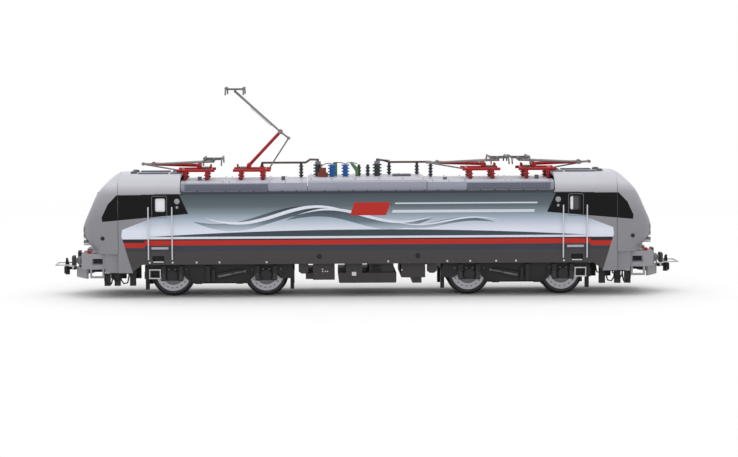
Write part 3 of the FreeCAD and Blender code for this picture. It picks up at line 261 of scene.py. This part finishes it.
def coil(tree, sizes):
    """A coil spring of round wire."""
    spiral = tree.nodes.new("GeometryNodeCurveSpiral")
    spiral.inputs["Resolution"].default_value = 12
    spiral.inputs["Rotations"].default_value = 5.0
    for end in ("Start Radius", "End Radius"):
        tree.links.new(sizes["Radius"], spiral.inputs[end])
    tree.links.new(sizes["Height"], spiral.inputs["Height"])
    ring = tree.nodes.new("GeometryNodeCurvePrimitiveCircle")
    ring.inputs["Resolution"].default_value = 6
    tree.links.new(sizes["Wire"], ring.inputs["Radius"])
    swept = tree.nodes.new("GeometryNodeCurveToMesh")
    swept.inputs["Fill Caps"].default_value = True
    tree.links.new(spiral.outputs[0], swept.inputs["Curve"])
    tree.links.new(ring.outputs[0], swept.inputs["Profile Curve"])
    return swept.outputs["Mesh"]


def plate(tree, sizes):
    """A small flat plate."""
    shape = tree.nodes.new("ShaderNodeCombineXYZ")
    for axis, size in zip("XYZ", ("Length", "Depth", "Height")):
        tree.links.new(sizes[size], shape.inputs[axis])
    made = tree.nodes.new("GeometryNodeMeshCube")
    tree.links.new(shape.outputs[0], made.inputs["Size"])
    return made.outputs["Mesh"]


bogie_plastic = moulded("bogie_plastic", (40, 39, 40), rough=0.5, tone=0.1, grain=0.3)
spring_grey = moulded("spring_grey", (74, 73, 75), rough=0.4)
tread_white = moulded("tread_white", (214, 214, 216), rough=0.5)
bolt_grey = moulded("bolt_grey", (96, 95, 97), rough=0.4, metal=0.3)
AXLE_OFFSET, PIVOT, AXLE_HEIGHT, SPRING_OFFSET, FRAME_SIDE = 17.25, 54.6, 8.2, 3.2, 16.1
BOGIE_STEP = 78.2
for side, end in (("left", -1), ("right", 1)):
    body = "bogie_" + side
    dress("bogie_frame_" + side, bogie_plastic)
    axles = [end * PIVOT + offset for offset in (-AXLE_OFFSET, AXLE_OFFSET)]
    springs = [(axle + offset, y, 6.9) for axle in axles for offset in (-SPRING_OFFSET, SPRING_OFFSET)
               for y in (-15.35, 15.35)]
    repeated("bogie_springs_" + side, springs, {"Radius": 0.86, "Height": 2.5, "Wire": 0.2}, coil,
             spring_grey, body)
    heads = [(axle + offset, y, 10.6) for axle in axles for offset in (-5.4, -1.1, 1.1, 5.4)
             for y in (-FRAME_SIDE, FRAME_SIDE)]
    repeated("bogie_bolts_" + side, heads, {"Radius": 0.3, "Height": 0.3}, screw_head, bolt_grey,
             body, turn=(math.pi / 2, 0.0, 0.0))
    treads, step = bmesh.new(), end * BOGIE_STEP
    for y in (-16.0, 15.4):
        for z in (10.5, 7.35):
            block(treads, (step - 2.2, y - 0.3, z - 0.16), (step + 2.2, y + 0.9, z + 0.2))
        for x in (-2.1, 1.8):
            block(treads, (step + x, y - 0.3, 7.4), (step + x + 0.3, y + 0.8, 10.5))
    fitted("bogie_treads_" + side, treads, tread_white, body)


# Brake pipes, yaw dampers and sand pipes: round rubber and metal lines clipped to each frame.
def wire(shape, points, radius, closed=False, sides=8):
    """Add a round bar that follows points, mitred at each, with closed ends unless it is a ring."""
    points = [Vector(point) for point in points]
    count = len(points)
    rings, side = [], None
    for k, point in enumerate(points):
        before = points[(k - 1) % count] if closed else points[max(k - 1, 0)]
        after = points[(k + 1) % count] if closed else points[min(k + 1, count - 1)]
        ahead = (after - before).normalized()
        side = ahead.orthogonal() if side is None else side - ahead * side.dot(ahead)
        side.normalize()
        across = ahead.cross(side)
        rings.append([shape.verts.new(point + (side * math.cos(a) + across * math.sin(a)) * radius)
                      for a in (2 * math.pi * n / sides for n in range(sides))])
    pairs = list(zip(rings[:-1], rings[1:])) + ([(rings[-1], rings[0])] if closed else [])
    for first, second in pairs:
        for n in range(sides):
            shape.faces.new((first[n], first[(n + 1) % sides], second[(n + 1) % sides], second[n]))
    if not closed:
        shape.faces.new(rings[0])
        shape.faces.new(rings[-1])


damper_grey = moulded("damper_grey", (104, 103, 106), rough=0.35, metal=0.3)
line_black = moulded("line_black", (30, 30, 31), rough=0.5)
for side, end in (("left", -1), ("right", 1)):
    pivot, dampers, lines = end * PIVOT, bmesh.new(), bmesh.new()
    for out in (-1, 1):
        y = out * (FRAME_SIDE + 0.1)
        wire(dampers, [(pivot, y, 8.0), (pivot - end * 4.6, y, 8.9)], 0.42, sides=12)
        wire(dampers, [(pivot - end * 4.6, y, 8.9), (pivot - end * 9.4, y, 9.9)], 0.26, sides=12)
        for x, z in ((pivot, 8.0), (pivot - end * 9.4, 9.9)):
            wire(dampers, [(x, out * (FRAME_SIDE - 0.6), z), (x, out * (FRAME_SIDE + 0.4), z)], 0.5,
                 sides=12)
        for offset in (-AXLE_OFFSET, AXLE_OFFSET):
            x, lead = pivot + offset, 1 if offset < 0 else -1
            wire(lines, [(x + lead * 5.6, y, 10.8), (x + lead * 6.0, y, 8.0), (x + lead * 7.4, y, 6.2),
                         (x + lead * 8.6, y, 5.4), (x + lead * 11.0, y, 5.4)], 0.22)
            wire(lines, [(x - 2.4, y, 11.4), (x - 1.6, y + out * 0.2, 11.0), (x + 1.6, y + out * 0.2, 11.0),
                         (x + 2.4, y, 11.4)], 0.16)
    fitted("bogie_dampers_" + side, dampers, damper_grey, "bogie_" + side, smooth=True)
    fitted("bogie_lines_" + side, lines, line_black, "bogie_" + side, smooth=True)


# ------------------------------------------------------------ wheels
# Turned metal tyres with a dark tread face, a bright disc with a ring of small slots, and a
# darker hub. A painted highlight draws a fine bright ring round the tyre edge.
def wheel_finish(name, axle):
    finish = Finish(name)
    across, up = finish.x - axle, finish.z - AXLE_HEIGHT
    radius = (across * across + up * up).maths("SQRT")
    angle = up.maths("ARCTAN2", across)
    slots = ((angle * 18.0).maths("SINE") > 0.45) * radius.between(4.95, 5.3)
    hue = finish.mix(radius > 6.15, paint((182, 181, 187)), paint((62, 61, 64)))
    # Painted highlight: a fine bright ring at the tyre's inner edge.
    hue = finish.mix(radius.between(6.1, 6.3), hue, paint((206, 205, 210)))
    hue = finish.mix(radius.between(3.75, 3.95), hue, paint((70, 69, 72)))
    hue = finish.mix(radius < 3.75, hue, paint((112, 111, 115)))
    hue = finish.mix(slots, hue, paint((70, 69, 73)))
    hue = finish.mix(radius < 1.2, hue, paint((150, 149, 153)))
    hue = finish.mix(abs(finish.y) < 6.9, hue, paint((64, 63, 66)))
    return finish.colour(hue, 0.34, metal=0.55)


axles = [middle + offset for middle in (-PIVOT, PIVOT) for offset in (-AXLE_OFFSET, AXLE_OFFSET)]
for number, axle in enumerate(axles, 1):
    dress("wheelset_%d" % number, wheel_finish("wheel_metal_%d" % number, axle))


# ------------------------------------------------------------ underfloor equipment
# The tank and the two cases hang between the bogies, moulded in dark grey. Small cocks and a
# filler plate on their sides are white, and a ventilation grille is sunk into the tank's side.
under_grey = moulded("under_grey", (62, 59, 60), rough=0.55, tone=0.08)
pipe_black = moulded("pipe_black", (40, 39, 41), rough=0.5)
dress("underfloor_tank", under_grey)
dress("underfloor_cases", under_grey)
dress("cab_pipework", pipe_black)
TANK_SIDES = (-15.45, 15.45)
marks = [(-5.0, y, 8.6) for y in TANK_SIDES]
slats = [(3.1, y, 9.0 + 0.45 * k) for y in TANK_SIDES for k in range(6)]
repeated("filler_plates", marks, {"Length": 1.6, "Depth": 0.3, "Height": 1.4}, plate, tread_white,
         "locomotive")
repeated("tank_grille", slats, {"Length": 3.4, "Depth": 0.35, "Height": 0.2}, plate, pipe_black,
         "locomotive")
cocks = [(x, y, z) for y in (-16.0, 16.0)
         for x, z in ((-16.6, 10.4), (-15.6, 9.6), (-16.6, 9.6), (-14.8, 9.6), (12.6, 10.0))]
repeated("drain_cocks", cocks, {"Radius": 0.24, "Height": 0.4}, screw_head, tread_white,
         "locomotive", turn=(math.pi / 2, 0.0, 0.0))


# ------------------------------------------------------------ body shell
# One moulding, printed all over: a pale sky that darkens towards the gutter, with free ribbons
# across it, then a white line, a red line and a dark skirt. The ends and the cab roof stay grey,
# with a painted highlight that makes the grey paler up the cab roof, and painted shadow lines
# along the gutter and over the doors.
def shell_print():
    finish = Finish("shell_print")
    x, z, out = finish.x, finish.z, abs(finish.x)

    def ribbon(middle, reach, foot, swing, pitch, depth):
        """A band that rises and falls along the side and runs out to nothing at both ends."""
        along = (x - middle) * (1.0 / reach)
        half = (1.0 - along * along) * depth
        return abs(z - foot - ((x - middle) * pitch).maths("SINE") * swing) < half

    sky = finish.bands(z, [(24.8, (224, 229, 243)), (26.2, (213, 219, 232)), (29.0, (172, 185, 201)),
                           (31.4, (132, 145, 154)), (33.9, (94, 106, 113)), (37.0, (76, 88, 95)),
                           (38.5, (68, 78, 86))])
    shaded = finish.bands(z, [(25.0, (190, 201, 216)), (28.0, (104, 119, 131)), (33.5, (42, 50, 60))])
    for middle, reach, foot, swing, pitch, depth, hue in (
            (-37.0, 27.0, 29.2, 3.0, 0.105, 2.0, shaded),
            (-33.0, 27.0, 30.6, 3.0, 0.105, 0.65, paint((228, 232, 243))),
            (-3.0, 27.0, 28.9, -2.4, 0.12, 1.8, shaded),
            (-1.0, 25.0, 30.2, -2.4, 0.12, 0.55, paint((222, 227, 239))),
            (27.0, 20.0, 27.4, 1.3, 0.15, 0.9, shaded),
            (29.0, 20.0, 28.1, 1.3, 0.15, 0.3, paint((226, 230, 242)))):
        sky = finish.mix(ribbon(middle, reach, foot, swing, pitch, depth), sky, hue)
    red = paint((184, 38, 28))
    slanted = x - (z - 32.7) * 0.35
    panel = slanted.between(-5.6, 7.6) * z.between(30.3, 35.1)
    sky = finish.mix(panel, sky, red)
    lines = (((z - 30.9) * 1.96).maths("SINE") > 0.55) * z.between(30.9, 34.9)
    sky = finish.mix(slanted.between(9.4, 61.5) * lines, sky, paint((212, 218, 228)))
    crest = 25.1 - out * out * 0.00036
    hue = finish.mix(z < crest, sky, paint((58, 70, 79)))
    hue = finish.mix(z < 22.75, hue, paint((222, 226, 238)))
    hue = finish.mix(z < 21.95, hue, paint((40, 36, 40)))
    drop = (out > 81.8) * 0.85
    hue = finish.mix((z + drop) < 21.45, hue, red)
    hue = finish.mix((z + drop) < 19.6, hue, paint((54, 58, 68)))
    hue = finish.mix(z < 17.4, hue, paint((66, 63, 64)))
    # Painted highlight: the grey grows paler up the cab roof's rounded shoulder, as if lit from above.
    grey = finish.bands(z, [(9.0, (136, 135, 141)), (30.0, (140, 139, 145)), (38.3, (160, 159, 166)),
                            (41.8, (200, 199, 207)), (45.4, (196, 196, 205))])
    edge = 90.3 - abs(z - 23.0) * 0.12 - (23.0 - z).maths("MAXIMUM", 0.0) * 0.18
    roof = ((out > 78.0) * ((z + out * 0.385) > 60.1)).maths("MAXIMUM", z > 38.55)
    hue = finish.mix((out > edge).maths("MAXIMUM", roof), hue, grey)
    # Painted shadow: a dark line along the gutter under the hatches.
    gutter = z.between(38.3, 39.02) * (out < 68.4)
    hue = finish.mix(gutter, hue, paint((52, 55, 64)))
    # Painted shadow: a dark line over each door, under the cab roof's edge.
    hue = finish.mix(z.between(37.95, 38.4) * out.between(67.5, 83.0), hue, paint((60, 60, 66)))
    lamps = (out > 100.6) * abs(finish.y).between(7.9, 12.6) * z.between(19.0, 26.2)
    hue = finish.mix(lamps, hue, paint((84, 83, 88)))
    return finish.colour(hue, 0.4, coat=0.04, tone=0.03)


dress("body_shell", shell_print())
SIDE = 17.3
spots = [(x, y, 13.3) for x in (-80.0, -71.6, -62.8, -54.4, -37.1, 7.5, 29.2, 37.6, 47.1, 54.4, 72.0)
         for y in (-SIDE, SIDE)]
repeated("skirt_marks", spots, {"Length": 0.6, "Depth": 0.14, "Height": 0.6}, plate, tread_white,
         "locomotive")


def turned(shape, centre, axis, profile, sides=28):
    """Add a turned piece: pairs of distance along its axis and radius, closed at both ends."""
    turn = Vector((0, 0, 1)).rotation_difference(Vector(axis)).to_matrix()
    rings = []
    for step, radius in profile:
        around = (2 * math.pi * k / sides for k in range(sides))
        spots = (Vector((radius * math.cos(a), radius * math.sin(a), step)) for a in around)
        rings.append([shape.verts.new(Vector(centre) + turn @ spot) for spot in spots])
    for first, second in zip(rings[:-1], rings[1:]):
        for k in range(sides):
            shape.faces.new((first[k], first[(k + 1) % sides], second[(k + 1) % sides], second[k]))
    shape.faces.new(rings[0])
    shape.faces.new(rings[-1])


# Side fittings: two round locks beside each door window, dark round sockets on the cab sides and
# the skirt, a white tread in each step recess and a sill under each door.
cap_grey = moulded("cap_grey", (158, 158, 164), rough=0.35)
rubber = moulded("rubber", (34, 33, 35), rough=0.6)
locks, sockets, steps, sills = bmesh.new(), bmesh.new(), bmesh.new(), bmesh.new()
LOCK, CAB_SOCKET, STEP, SILL = 69.8, 97.2, 76.8, 76.2
for out in (-1, 1):
    across = (0, out, 0)
    for end in ENDS:
        for depth, z, profile in ((-0.2, 35.8, [(0, 1.0), (0.3, 1.0), (0.42, 0.85)]),
                                  (0.1, 35.8, [(0, 0.55), (0.2, 0.55), (0.3, 0.4)]),
                                  (-0.2, 33.6, [(0, 0.5), (0.35, 0.5), (0.45, 0.4)])):
            turned(locks, (end * LOCK, out * (SIDE + depth), z), across, profile)
        turned(sockets, (end * CAB_SOCKET, out * (SIDE - 0.45), 22.3), across,
               [(0, 0.75), (0.42, 0.75), (0.5, 0.6)])
        block(steps, (end * STEP - 1.9, out * 16.3, 13.35),
              (end * STEP + 1.9, out * (SIDE + 0.02), 13.7), 0.05)
        block(sills, (end * SILL - 3.1, out * (SIDE - 0.1), 18.2),
              (end * SILL + 3.1, out * (SIDE + 0.12), 19.0), 0.05)
    for x in (-17.8, 18.4):
        turned(sockets, (x, out * (SIDE - 0.2), 15.3), across, [(0, 0.95), (0.26, 0.95), (0.32, 0.8)])
fitted("side_locks", locks, cap_grey, "locomotive")
fitted("side_sockets", sockets, rubber, "locomotive")
fitted("step_treads", steps, tread_white, "locomotive")
fitted("door_sills", sills, moulded("sill_grey", (176, 178, 184), rough=0.4), "locomotive")


# Door windows: a pane, a rubber seal round each opening and the thin bright line of the frame.
# The panes carry a painted reflection: pale, and darker towards the end of the right cab.
def rounded(x, y, z, half_length, half_height, corner):
    """Points of an upright rounded rectangle at a depth y."""
    points = []
    for quarter, (a, b) in enumerate(((1, 1), (-1, 1), (-1, -1), (1, -1))):
        for k in range(5):
            angle = math.pi / 2 * (quarter + k / 4)
            points.append((x + a * (half_length - corner) + corner * math.cos(angle), y,
                           z + b * (half_height - corner) + corner * math.sin(angle)))
    return points


WINDOW = 76.0
seals, frames, panes = bmesh.new(), bmesh.new(), bmesh.new()
for out in (-1, 1):
    for end in ENDS:
        wire(seals, rounded(end * WINDOW, out * SIDE, 34.45, 1.95, 2.6, 0.7), 0.16, closed=True)
        wire(frames, rounded(end * (WINDOW + 0.3), out * SIDE, 33.8, 2.75, 3.95, 0.5), 0.09, closed=True)
        block(panes, (end * WINDOW - 1.78, out * 16.75, 32.05),
              (end * WINDOW + 1.78, out * 16.95, 36.85), 0.05)
# Painted reflection on the panes: pale, darker towards the right cab's end.
pane_painted_reflection = moulded("pane_painted_reflection", (236, 238, 242), rough=0.15, coat=0.3, patches=[
    (lambda f: f.x > 75.3, (70, 70, 74)), (lambda f: f.x > 77.2, (34, 34, 36))])
fitted("door_window_panes", panes, pane_painted_reflection, "locomotive")
fitted("door_window_seals", seals, rubber, "locomotive", smooth=True)
fitted("door_frames", frames, moulded("frame_grey", (120, 120, 126), rough=0.4), "locomotive",
       smooth=True)


# ------------------------------------------------------------ cab: glass, wipers, lamps, rails
# Dark glazing closes the windscreens and the side panels. The wipers are thin black arms, the
# lamps are pale lenses with darker bands, and the handrails are bare metal wire.
dress("cab_glazing", moulded("dark_glass", (16, 16, 18), rough=0.12, grain=0.0, shine=0.12))
dress("cab_interiors", moulded("cab_plastic", (66, 68, 74), rough=0.6, patches=[
    (lambda f: (f.z > 26.6) * abs(f.x).between(90.0, 98.0), (48, 49, 54))]))
dress("wipers", moulded("wiper_black", (28, 28, 30), rough=0.5))
dress("door_handrails", moulded("rail_metal", (206, 206, 211), rough=0.32, metal=0.5))
dress("headlamps", moulded("lamp_lens", (212, 214, 220), rough=0.12, coat=0.6, patches=[
    (lambda f: (f.z * 2.674).maths("SINE") < -0.4, (96, 96, 102))]))


# ------------------------------------------------------------ roof
# Three grey hatches with screws along their edges. A painted highlight makes their tops paler,
# and painted shade darkens the louvred recesses in their sides and their lower edges. Posts and
# breakers are ribbed insulators, the bus bar is brown, and the switchgear between them has blue,
# green and brown mouldings.
hatch_paint = moulded("hatch_paint", (158, 161, 177), rough=0.42, tone=0.04, patches=[
    # Painted highlight on the tops; painted shade in the louvre recesses and along the lower edges.
    (lambda f: f.z > 42.3, (186, 187, 197)),
    (lambda f: abs(f.x).between(36.4, 67.0) * f.z.between(39.4, 41.9) * (abs(f.y) > 14.0), (118, 122, 136)),
    (lambda f: f.z < 39.25, (112, 115, 128))])
for part in ("left", "middle", "right"):
    dress("roof_hatch_" + part, hatch_paint)
grille_paint = moulded("grille_paint", (92, 95, 107), rough=0.6)
dress("cab_roof_fittings", grille_paint)
dress("roof_boxes", moulded("box_grey", (98, 101, 110), rough=0.5))
hatch_screws = [(end * x, y, 42.83) for end in ENDS for x in (24.0, 30.0, 36.0, 50.6, 53.0, 67.0)
                for y in (-14.6, 14.6)]
hatch_screws += [(x, y, 43.73) for x in (-20.6, -13.0, -4.4, 4.4, 13.0, 20.6) for y in (-14.4, 14.4)]
repeated("hatch_screws", hatch_screws, {"Radius": 0.28, "Height": 0.16}, screw_head, bolt_grey,
         "locomotive")
catches = [(5.2 * k, y, 39.3) for k in range(-12, 13) for y in (-15.66, 15.66)]
repeated("hatch_catches", catches, {"Length": 0.5, "Depth": 0.2, "Height": 0.4}, plate, grille_paint,
         "locomotive")
dress("roof_posts", moulded("post_grey", (66, 68, 74), rough=0.4, patches=[
    (lambda f: f.z > 48.2, (132, 132, 136))]))
dress("roof_bars", moulded("bar_brown", (92, 74, 68), rough=0.4))
dress("roof_switchgear", moulded("switch_mouldings", (50, 108, 184), rough=0.35, patches=[
    (lambda f: f.x < -14.4, (128, 62, 50)), (lambda f: f.x > -6.6, (82, 128, 88)),
    (lambda f: (f.y > 0.3) * f.x.between(-13.0, -10.0), (84, 140, 92)),
    (lambda f: f.z > 48.3, (136, 138, 142))]))
joints, cables = bmesh.new(), bmesh.new()
for x, y in ((-12.8, -3.0), (-7.8, -2.0)):
    turned(joints, (x, y, 47.95), (0, 0, 1), [(0, 0.5), (0.5, 0.5), (0.62, 0.35)])
for first, last, sag in (((-12.8, -3.0, 48.4), (-17.2, -3.9, 47.2), (0, 0, 0.8)),
                         ((-7.8, -2.0, 48.4), (-12.8, -3.0, 48.4), (0, 0, 0.5)),
                         ((-7.8, -2.0, 48.4), (-3.4, -1.6, 48.3), (0, 0, 0.5)),
                         ((4.1, 0.0, 49.0), (9.0, 5.0, 49.2), (0, 0, 0.4))):
    first, last = Vector(first), Vector(last)
    parts = [t / 12 for t in range(13)]
    wire(cables, [first.lerp(last, part) + Vector(sag) * 4 * part * (1 - part) for part in parts], 0.16)
fitted("switch_terminals", joints, moulded("terminal_metal", (170, 170, 174), rough=0.3, metal=0.6),
       "locomotive")
fitted("switch_cables", cables, moulded("cable_brown", (84, 66, 60), rough=0.45), "locomotive",
       smooth=True)


# ------------------------------------------------------------ pantographs
# Red base frames and lower arms on red insulators; thin bare upper arms carry a sprung head.
# A fine guide rod under each upper arm keeps the head level, and two lift springs lie in the base.
pantograph_red = moulded("pantograph_red", (172, 28, 32), rough=0.36)
insulator_red = moulded("insulator_red", (160, 26, 32), rough=0.3, coat=0.2, patches=[
    (lambda f: f.z < 43.4, (108, 24, 28))])
arm_grey = moulded("arm_grey", (128, 124, 123), rough=0.38, metal=0.35)
strip_black = moulded("strip_black", (98, 95, 94), rough=0.4, metal=0.4)
dress("pantograph_insulators", insulator_red)
hinges = {joint["name"]: Vector(joint["pos_m"]) / MM for joint in frame["joints"]}
for number in range(1, 5):
    dress("pantograph_base_%d" % number, pantograph_red)
    dress("lower_arm_%d" % number, pantograph_red)
    dress("upper_arm_%d" % number, arm_grey)
    dress("coupling_rod_%d" % number, arm_grey)
    dress("collector_head_%d" % number, strip_black)
    knee, head = hinges["pantograph_%d_knee" % number], hinges["pantograph_%d_head_level" % number]
    reach = (head - knee).normalized()
    below = Vector((reach.z, 0, -reach.x)) * (1 if reach.x > 0 else -1)
    rod = bmesh.new()
    aside = Vector((0, 1.25, 0))
    wire(rod, [knee + aside * 0.6 + reach * 3.2, knee + aside + below * 0.7 + reach * 4.6,
               head + aside + below * 0.7 - reach * 8.6, head + aside - reach * 7.4,
               head + aside - reach * 1.6], 0.14)
    bare_wire = moulded("rod_wire_%d" % number, (176, 174, 173), rough=0.35, metal=0.4)
    fitted("guide_rod_%d" % number, rod, bare_wire, "upper_arm_%d" % number, smooth=True)
springs = [(hinges["pantograph_%d_raise" % number].x + (0.6 if number in (1, 3) else -4.0), y, 47.0)
           for number in range(1, 5) for y in (-1.2, 1.2)]
repeated("lift_springs", springs, {"Radius": 0.5, "Height": 3.4, "Wire": 0.13}, coil, arm_grey,
         "locomotive", turn=(0.0, math.pi / 2, 0.0))


# ------------------------------------------------------------ ends: beams, buffers, couplers
# Grey crash boxes and ploughs close the ends. The buffers, pockets and couplers are black, the
# loop is bright wire, and brake pipes with a red cock hang beside each coupler.
# Painted shade: a dark square low on each crash box, where a recess lies in shade.
beam_grey = moulded("beam_grey", (150, 149, 154), rough=0.55, patches=[
    (lambda f: abs(f.x).between(97.2, 101.0) * f.z.between(12.7, 14.9) * abs(f.y).between(11.5, 14.75),
     (28, 28, 32))])
dress("crash_boxes", beam_grey)
dress("snow_ploughs", beam_grey)
dress("buffers", moulded("buffer_black", (52, 51, 54), rough=0.42, patches=[
    (lambda f: abs(f.x).between(106.0, 107.9), (120, 119, 122))]))
coupler_black = moulded("coupler_black", (30, 30, 32), rough=0.5)
for side in ("left", "right"):
    dress("coupler_" + side, coupler_black)
    dress("coupler_loop_" + side, turned_steel)
dress("coupler_pockets", coupler_black)
hose_rubber = moulded("hose_rubber", (38, 37, 39), rough=0.6)
cock_red = moulded("cock_red", (176, 34, 30), rough=0.4)
hoses, cocks = bmesh.new(), bmesh.new()
HOSE_LINE = ((0.0, 15.2), (1.2, 15.2), (2.1, 14.7), (2.5, 13.8), (2.5, 12.6), (2.2, 11.5), (1.6, 10.9))
for end in ENDS:
    for y, lead in ((-6.4, 1.0), (-5.2, 0.7), (5.2, 0.7), (6.4, 1.0)):
        wire(hoses, [(end * (104.6 + lead * s), y, z) for s, z in HOSE_LINE], 0.3)
        turned(cocks, (end * 105.4, y, 15.2), (end, 0, 0), [(0, 0.5), (0.7, 0.5), (0.8, 0.35)])
    for y in (-1, 1):
        block(cocks, (end * 102.6 - 0.7, y * 13.0 - 0.5, 16.3), (end * 102.6 + 0.7, y * 13.0 + 0.5, 17.4))
    for y in (-12.5, 12.5):
        for x, drop in ((88.5, 5.6), (91.5, 6.4), (94.5, 5.2)):
            wire(hoses, [(end * (x - 0.8), y * 1.1, 10.4), (end * (x - 0.4), y * 1.12, drop + 1.6),
                         (end * x, y * 1.12, drop), (end * (x + 1.4), y * 1.12, drop - 0.3),
                         (end * (x + 2.4), y * 1.08, drop + 1.0), (end * (x + 2.8), y, 10.2)], 0.28)
fitted("brake_hoses", hoses, hose_rubber, "locomotive", smooth=True)
fitted("brake_cocks", cocks, cock_red, "locomotive")


# ------------------------------------------------------------ floor, light and view
# A white floor that fades into a white surround, a large soft light overhead, a weaker one in
# front, and a long lens a little above the roof, tipped down to the rails.
sheet = bpy.data.meshes.new("floor")
sheet.from_pydata([(-3, -3, 0), (3, -3, 0), (3, 3, 0), (-3, 3, 0)], [], [(0, 1, 2, 3)])
floor = bpy.data.objects.new("floor", sheet)
bpy.context.scene.collection.objects.link(floor)
ground = Finish("floor_white")
distance = (ground.x * ground.x + ground.y * ground.y).maths("SQRT")
FADE_START, FADE_LENGTH = 260.0, 300.0
fading = ((distance - FADE_START) * (1 / FADE_LENGTH)).maths("MAXIMUM", 0.0).maths("MINIMUM", 1.0)
ground.feed(ground.shader.inputs["Alpha"], 1.0 - fading)
sheet.materials.append(ground.colour(paint((250, 250, 250)), 0.9, tone=0.0, grain=0.0))

world = bpy.data.worlds.new("surround")
bpy.context.scene.world = world
world.use_nodes = True
sky = world.node_tree.nodes["Background"]
sky.inputs["Color"].default_value = (1.0, 1.0, 1.0, 1.0)
ray = world.node_tree.nodes.new("ShaderNodeLightPath")
seen = world.node_tree.nodes.new("ShaderNodeMath")
seen.operation = "MAXIMUM"
through = world.node_tree.nodes.new("ShaderNodeMath")
through.operation = "MAXIMUM"
level = world.node_tree.nodes.new("ShaderNodeMapRange")
FILL_STRENGTH = 0.6
level.inputs["To Min"].default_value = FILL_STRENGTH
for source, target in ((ray.outputs["Is Camera Ray"], seen.inputs[0]),
                       (ray.outputs["Is Glossy Ray"], seen.inputs[1]),
                       (seen.outputs[0], through.inputs[0]),
                       (ray.outputs["Is Transmission Ray"], through.inputs[1]),
                       (through.outputs[0], level.inputs["Value"]),
                       (level.outputs[0], sky.inputs["Strength"])):
    world.node_tree.links.new(source, target)


def soft_light(name, place, aim, size, power):
    lamp = bpy.data.lights.new(name, "AREA")
    lamp.shape = "RECTANGLE"
    lamp.size, lamp.size_y = size
    lamp.energy = power
    holder = bpy.data.objects.new(name, lamp)
    bpy.context.scene.collection.objects.link(holder)
    holder.matrix_world = (Matrix.Translation(place)
                           @ (Vector(aim) - Vector(place)).to_track_quat("-Z", "Y").to_matrix().to_4x4())


soft_light("overhead", (0.0, 0.1, 1.2), (0, 0, 0), (2.4, 1.4), 11.0)
soft_light("front", (-0.3, -1.3, 0.8), (0, 0, 0.03), (1.6, 0.8), 3.0)

EYE, DIP_DEGREES, ROLL = Vector((-21.3, -767.3, 90.0)), 4.91, -0.006
lens = bpy.data.cameras.new("view")
lens.lens = 100.2
lens.shift_x = 0.0806
lens.clip_start, lens.clip_end = 0.01, 20.0
camera = bpy.data.objects.new("view", lens)
bpy.context.scene.collection.objects.link(camera)
camera.matrix_world = (Matrix.Translation(EYE * MM) @ Matrix.Rotation(math.radians(90 - DIP_DEGREES), 4, "X")
                       @ Matrix.Rotation(ROLL, 4, "Z"))
bpy.context.scene.camera = camera
bpy.context.scene.view_settings.view_transform = "Standard"
